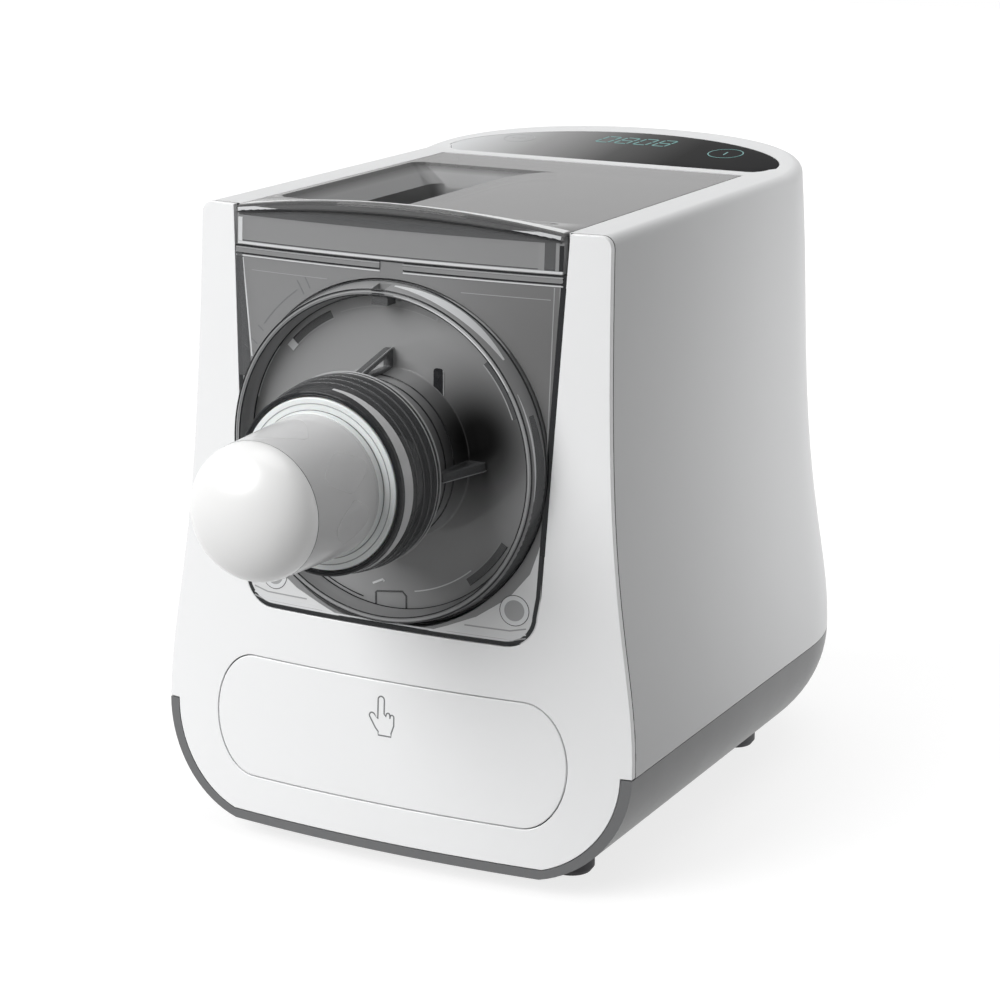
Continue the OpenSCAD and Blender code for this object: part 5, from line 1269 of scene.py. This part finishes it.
def make_lid():
    """Lid: plate with the feed funnel, arched bead, front flange, skirts and hinge barrels, with
    painted highlights and painted shade on its front.
    """
    plate_z = BODY_H - PLATE_T
    skirt_low = LID_Z + GAP
    outline = mirrored([(LID_HALF, y) for y in (LID_BACK, front_y(LID_HALF, BODY_H) + 6)]
                       + [(x, front_y(x, BODY_H) + HUMP_L - 2) for x in (60, 40, 20, 0)])
    lid = prism("lid_body", outline, lambda x, y: spot(x, y, plate_z),
                lambda x, y: spot(x, y, BODY_H))
    funnel = stack("funnel", [feed_ring(skirt_low + 1, 1, 2), feed_ring(BODY_H - 8.5, 1, 2),
                              feed_ring(BODY_H - 0.01, 0, 2)])
    carve(lid, funnel, "UNION")
    bead = [hump_ring(x) for x in steps(-LID_HALF + 0.01, LID_HALF - 0.01, 48)]
    carve(lid, stack("hump", bead), "UNION")
    flange = rounded([(-LID_HALF, LID_Z), (LID_HALF, LID_Z), (LID_HALF, BODY_H - 2.5),
                      (-LID_HALF, BODY_H - 2.5)], 1.0)
    carve(lid, sheet("flange", [flange], at_depth(0), at_depth(2.6), 8.0), "UNION")
    for side in (-1, 1):
        x1, x2 = sorted((side * (LID_HALF - 2), side * LID_HALF))
        carve(lid, block("skirt", (x1, front_y(x1, LID_Z) + 1.5, skirt_low),
                         (x2, LID_BACK - 14.5, plate_z + 0.3)), "UNION")
    carve(lid, stack("throat", [feed_ring(skirt_low - 5, 1), feed_ring(BODY_H - 8.5, 1),
                                feed_ring(BODY_H + 1, -0.12)]))
    soften(lid, 0.5)
    settle(lid, LID_CLEAR, *ON_LID, "lid")
    for side in (-1, 1):
        x1, x2 = sorted((side * (LID_HALF - 9), side * (LID_HALF - 1)))
        barrel = hinge_rod("barrel", 2.98, x1, x2, 32)
        carve(barrel, hinge_rod("bore", 1.55, x1 - 1, x2 + 1, 24))
        settle(barrel, FINISH["smoke_clear"], *ON_LID)
    span = steps(-LID_HALF + 1, LID_HALF - 1, 40)

    def along_bead(drop, share):
        return [(x, BODY_H - drop + share * bead_rise(x)) for x in span]

    on_face = at_depth(-0.12), at_depth(0.05)
    on_bead = at_depth(-1.32), at_depth(-1.1)
    # Painted light and shade on the lid's front: a painted highlight along the flange's foot with a
    # dark line over it, a painted highlight strip at the left end, painted shade graded over the
    # rounded right end, and dark, bright and dark painted lines along the bead's face.
    painted_lines = [([(-75.6, 252.0), (75.6, 252.0)], 1.0, on_face, PAINTED_HIGHLIGHT),
             ([(-75.6, 253.0), (75.6, 253.0)], 0.4, on_face, DARK_CLEAR_AND_SHADE),
             ([(-74.4, 252.6), (-74.4, 262.6)], 2.2, on_face, PAINTED_HIGHLIGHT),
             ([(75.0, 252.6), (75.0, 262.8)], 1.8, on_face, EDGE_DARK),
             ([(66.6, 252.6), (66.6, 263.2)], 2.6, on_face, RING_CLEAR),
             ([(70.2, 252.6), (70.2, 263.6)], 4.6, on_face, DARK_CLEAR_AND_SHADE),
             ([(73.3, 252.6), (73.3, 263.8)], 1.5, on_face, RING_CLEAR),
             (along_bead(2.6, 0.75), 0.8, on_bead, EDGE_DARK),
             (along_bead(1.7, 0.82), 1.5, on_bead, PAINTED_HIGHLIGHT),
             (along_bead(0.8, 0.90), 0.35, on_bead, DARK_CLEAR_AND_SHADE)]
    for path, width, (front, back), finish in painted_lines:
        fine = divided(path, closed=False)
        settle(ribbon("lid_painted_line", fine, width, back, front), finish, *ON_LID)
    # Painted shade under the bead, narrowing towards both ends.
    lens = along_bead(3.9, 0) + along_bead(3.4, 0.7)[::-1]
    settle(sheet("bead_shade", [lens], *on_face, 8.0), DARK_CLEAR_AND_SHADE, *ON_LID)
    # Painted highlight along the bead's crest.
    rings = []
    for x in span:
        y, high = front_y(x, BODY_H - 2), BODY_H + 0.08
        edges = [(t * HUMP_L, high + bead_rise(x) * bead_left(t)) for t in (0.05, 0.12, 0.19, 0.26)]
        rings.append([spot(x, y + d, z) for d, z in edges]
                     + [spot(x, y + d, z - 0.3) for d, z in reversed(edges)])
    settle(stack("lid_crest_highlight", rings), CREST_HIGHLIGHT, *ON_LID)


# ---- Control panel ----
GLASS_SIDE = 7.8
GLASS_END = 44.8
GLASS_MID = 8.7


def glass_outline(grow):
    """Rounded outline of the control glass, in the panel's plane."""
    half = LID_HALF + GLASS_SIDE + grow
    length = (BODY_D - GLASS_END - NOSE_Y) / math.cos(SLOPE) - GLASS_MID + grow
    r = GLASS_MID + 0.5 + grow
    right = [(half - r + r * sind(t) - 2, GLASS_MID - r * cosd(t)) for t in steps(0, 75, 6)]
    right += [(half * power(cosd(t), 1.9), GLASS_MID + length * power(sind(t), 1.9))
              for t in steps(0, 90, 30)][:-1]
    return mirrored(right + [(0.0, GLASS_MID + length)])[:-1]


def stroke(points, width, closed=False):
    """Ribbon outline along a path of flat points."""
    left, right = [], []
    count = len(points)
    for i, p in enumerate(points):
        a = Vector(points[i - 1] if i or closed else p)
        b = Vector(points[(i + 1) % count] if i < count - 1 or closed else p)
        along = (b - a).normalized() if (b - a).length else Vector((1, 0))
        across = Vector((-along.y, along.x)) * width / 2
        left.append(tuple(Vector(p) + across))
        right.append(tuple(Vector(p) - across))
    return left, right


def ribbon(name, points, width, low, high, closed=False):
    """Raised or inlaid line between two placing functions."""
    left, right = stroke(points, width, closed)
    n = len(points)
    places = [f(*p) for f in (low, high) for side in (left, right) for p in side]
    faces = []
    for j in range(n if closed else n - 1):
        k = (j + 1) % n
        faces += [(j, k, n + k, n + j), (2 * n + j, 3 * n + j, 3 * n + k, 2 * n + k),
                  (j, 2 * n + j, 2 * n + k, k), (n + j, n + k, 3 * n + k, 3 * n + j)]
    if not closed:
        faces += [(0, n, 3 * n, 2 * n), (n - 1, 3 * n - 1, 4 * n - 1, 2 * n - 1)]
    return shape(name, places, faces)


SEGMENTS = {"a": ((0, 2), (1, 2)), "b": ((1, 2), (1, 1)), "c": ((1, 1), (1, 0)),
            "d": ((1, 0), (0, 0)), "e": ((0, 0), (0, 1)), "f": ((0, 1), (0, 2)),
            "g": ((0, 1), (1, 1))}
DIGITS = {"0": "abcdef", "8": "abcdefg"}


def make_digits(text, u, v, wide, tall, pitch):
    """Slanted seven-segment figures on the display."""
    for place, figure in enumerate(text):
        for segment in DIGITS[figure]:
            a, b = (Vector((u + place * pitch + sx * wide + sz * tall * 0.12, v + sz * tall / 2))
                    for sx, sz in SEGMENTS[segment])
            short = (b - a).normalized() * 0.5
            line = ribbon("figure", [a + short, b - short], 1.0, on_slope(0.02), on_slope(0.07))
            settle(line, TEAL, "body", "display")


def make_panel():
    """Control glass with its display figures and touch marks."""
    glass = sheet("glass", [glass_outline(0)], on_slope(0), on_slope(-GLASS_T), 8.0)
    soften(glass, 0.3)
    settle(glass, FINISH["panel_black"], "body", "panel_black", "control_glass")
    make_digits("0808", -18.5, 33.5, 6.4, 11, 9.8)
    wave = [(-61, 29), (-59, 31.5), (-56.9, 29), (-54.5, 31.5), (-52.5, 29)]
    marks = [("mark_ring", circle(-56.9, 29.5, 7.4, 48), 0.5, True, FAINT),
             ("mark_wave", wave, 0.6, False, FAINT),
             ("power_ring", circle(50.8, 28.9, 8.2, 56), 0.55, True, TEAL),
             ("power_bar", [(50.8, 26.2), (50.8, 31.6)], 0.8, False, TEAL)]
    for name, path, width, closed, finish in marks:
        mark = ribbon(name, path, width, on_slope(0.02), on_slope(0.06), closed)
        settle(mark, finish, "body", "panel_black")


def make_press_mark():
    """Plain mark of a pressing finger on the drawer front."""
    x, z = 0.0, 59.6
    tip = arc(x, z + 7, 1.5, 0, 180, 8)
    thumb = arc(x - 4.3, z - 0.4, 1.3, 45, 200, 6)
    palm = [(x - 2.6, z - 5.5), (x - 1.2, z - 7), (x - 1.2, z - 8.5), (x + 5, z - 8.5),
            (x + 5, z - 7), (x + 6.2, z - 3.5)]
    knuckles = (arc(x + 5.3, z + 0.2, 0.9, 0, 180, 5) + [(x + 4.4, z - 0.5)]
                + arc(x + 3.4, z + 0.8, 0.9, 0, 180, 5))
    outline = [(x + 1.5, z + 1), *tip, (x - 1.5, z - 1.5), (x - 3.2, z + 0.4), *thumb, *palm,
               *knuckles, (x + 2.5, z)]
    low, high = at_depth(-0.04), at_depth(0.02)
    settle(ribbon("press_mark", outline, 0.62, low, high, True), INK, "drawer", "white_gloss")


# ---- Camera, light and ground ----
LENS = 99.65
EYE_SPOT = (549.99, -951.33, 449.5)
EYE_RIGHT = (0.886631, 0.462456, 0.004398)
EYE_UP = (-0.124231, 0.228997, 0.965467)
AMBIENT = 0.24
FLOOR_HALF = 4


def make_camera():
    """Camera at the height and angle of a standing view from the front right."""
    data = bpy.data.cameras.new("camera")
    data.lens = LENS
    data.sensor_width = 36.0
    eye = bpy.data.objects.new("camera", data)
    right, up = Vector(EYE_RIGHT), Vector(EYE_UP)
    turn = Matrix((right, up, right.cross(up))).transposed().to_4x4()
    eye.matrix_world = Matrix.Translation(spot(*EYE_SPOT)) @ turn
    bpy.context.scene.collection.objects.link(eye)
    bpy.context.scene.camera = eye


def make_lamp(name, kind, place, aim, size, power_level):
    """Lamp that shines from a place towards an aim, with its spread or its cone in degrees."""
    data = bpy.data.lights.new(name, kind)
    if kind == "SPOT":
        data.spot_size = math.radians(size)
        data.spot_blend = 1.0
        data.shadow_soft_size = 0.1
    else:
        data.angle = math.radians(size)
    data.energy = power_level
    lamp = bpy.data.objects.new(name, data)
    lamp.location = place
    lamp.rotation_euler = (Vector(aim) - Vector(place)).to_track_quat("-Z", "Y").to_euler()
    bpy.context.scene.collection.objects.link(lamp)


def seen_directly(tree):
    """Value of 1 for rays from the camera, off a glossy surface or through a clear one."""
    path = tree.nodes.new("ShaderNodeLightPath")
    either = maths(tree, "MAXIMUM", path.outputs["Is Camera Ray"], path.outputs["Is Glossy Ray"])
    return maths(tree, "MAXIMUM", either, path.outputs["Is Transmission Ray"])


def make_surroundings():
    """Soft lamps, even ambient light, white background and a pale floor that keeps the shadow."""
    world = bpy.data.worlds.new("studio")
    bpy.context.scene.world = world
    world.use_nodes = True
    tree = world.node_tree
    sky = tree.nodes["Background"]
    sky.inputs["Color"].default_value = (1, 1, 1, 1)
    strength = maths(tree, "MULTIPLY_ADD", seen_directly(tree), 1 - AMBIENT, AMBIENT)
    tree.links.new(strength, sky.inputs["Strength"])
    make_lamp("key", "SUN", (-0.55, -0.8, 0.65), (0, 0, 0), 45, 2.9)
    make_lamp("top", "SUN", (0.1, 0.1, 1.6), (0, 0, 0), 50, 0.62)
    make_lamp("side", "SPOT", (0.65, 0.32, 0.22), (0.11, 0.30, 0.15), 76, 8.0)
    corners = [(x * FLOOR_HALF, y * FLOOR_HALF, 0) for x, y in ((-1, -1), (1, -1), (1, 1), (-1, 1))]
    floor = shape("floor", corners, [(0, 1, 2, 3)])
    if floor.data.polygons[0].normal.z < 0:
        floor.data.flip_normals()
    made, tree, shader, place = start_material("floor", 0.8)
    skin = use_group(tree, MOULDING, place, Colour=(0.3, 0.3, 0.3, 1), Gloss=0.8,
                     Drift=0.01, Grain=200.0)
    tree.links.new(skin.outputs["Colour"], shader.inputs["Base Color"])
    shader.inputs["Emission Color"].default_value = (1, 1, 1, 1)
    glow = maths(tree, "MULTIPLY", seen_directly(tree), 1 - AMBIENT)
    tree.links.new(glow, shader.inputs["Emission Strength"])
    floor.data.materials.append(made)


make_camera()
bpy.context.scene.view_settings.view_transform = "Standard"
make_surroundings()
dress_nodes()
make_shell()
make_tub()
make_front()
make_seam()
make_drawer_front()
make_window()
make_bosses()
make_ring()
make_disc()
make_nut()
make_die()
make_cap()
make_lid()
make_panel()
make_press_mark()
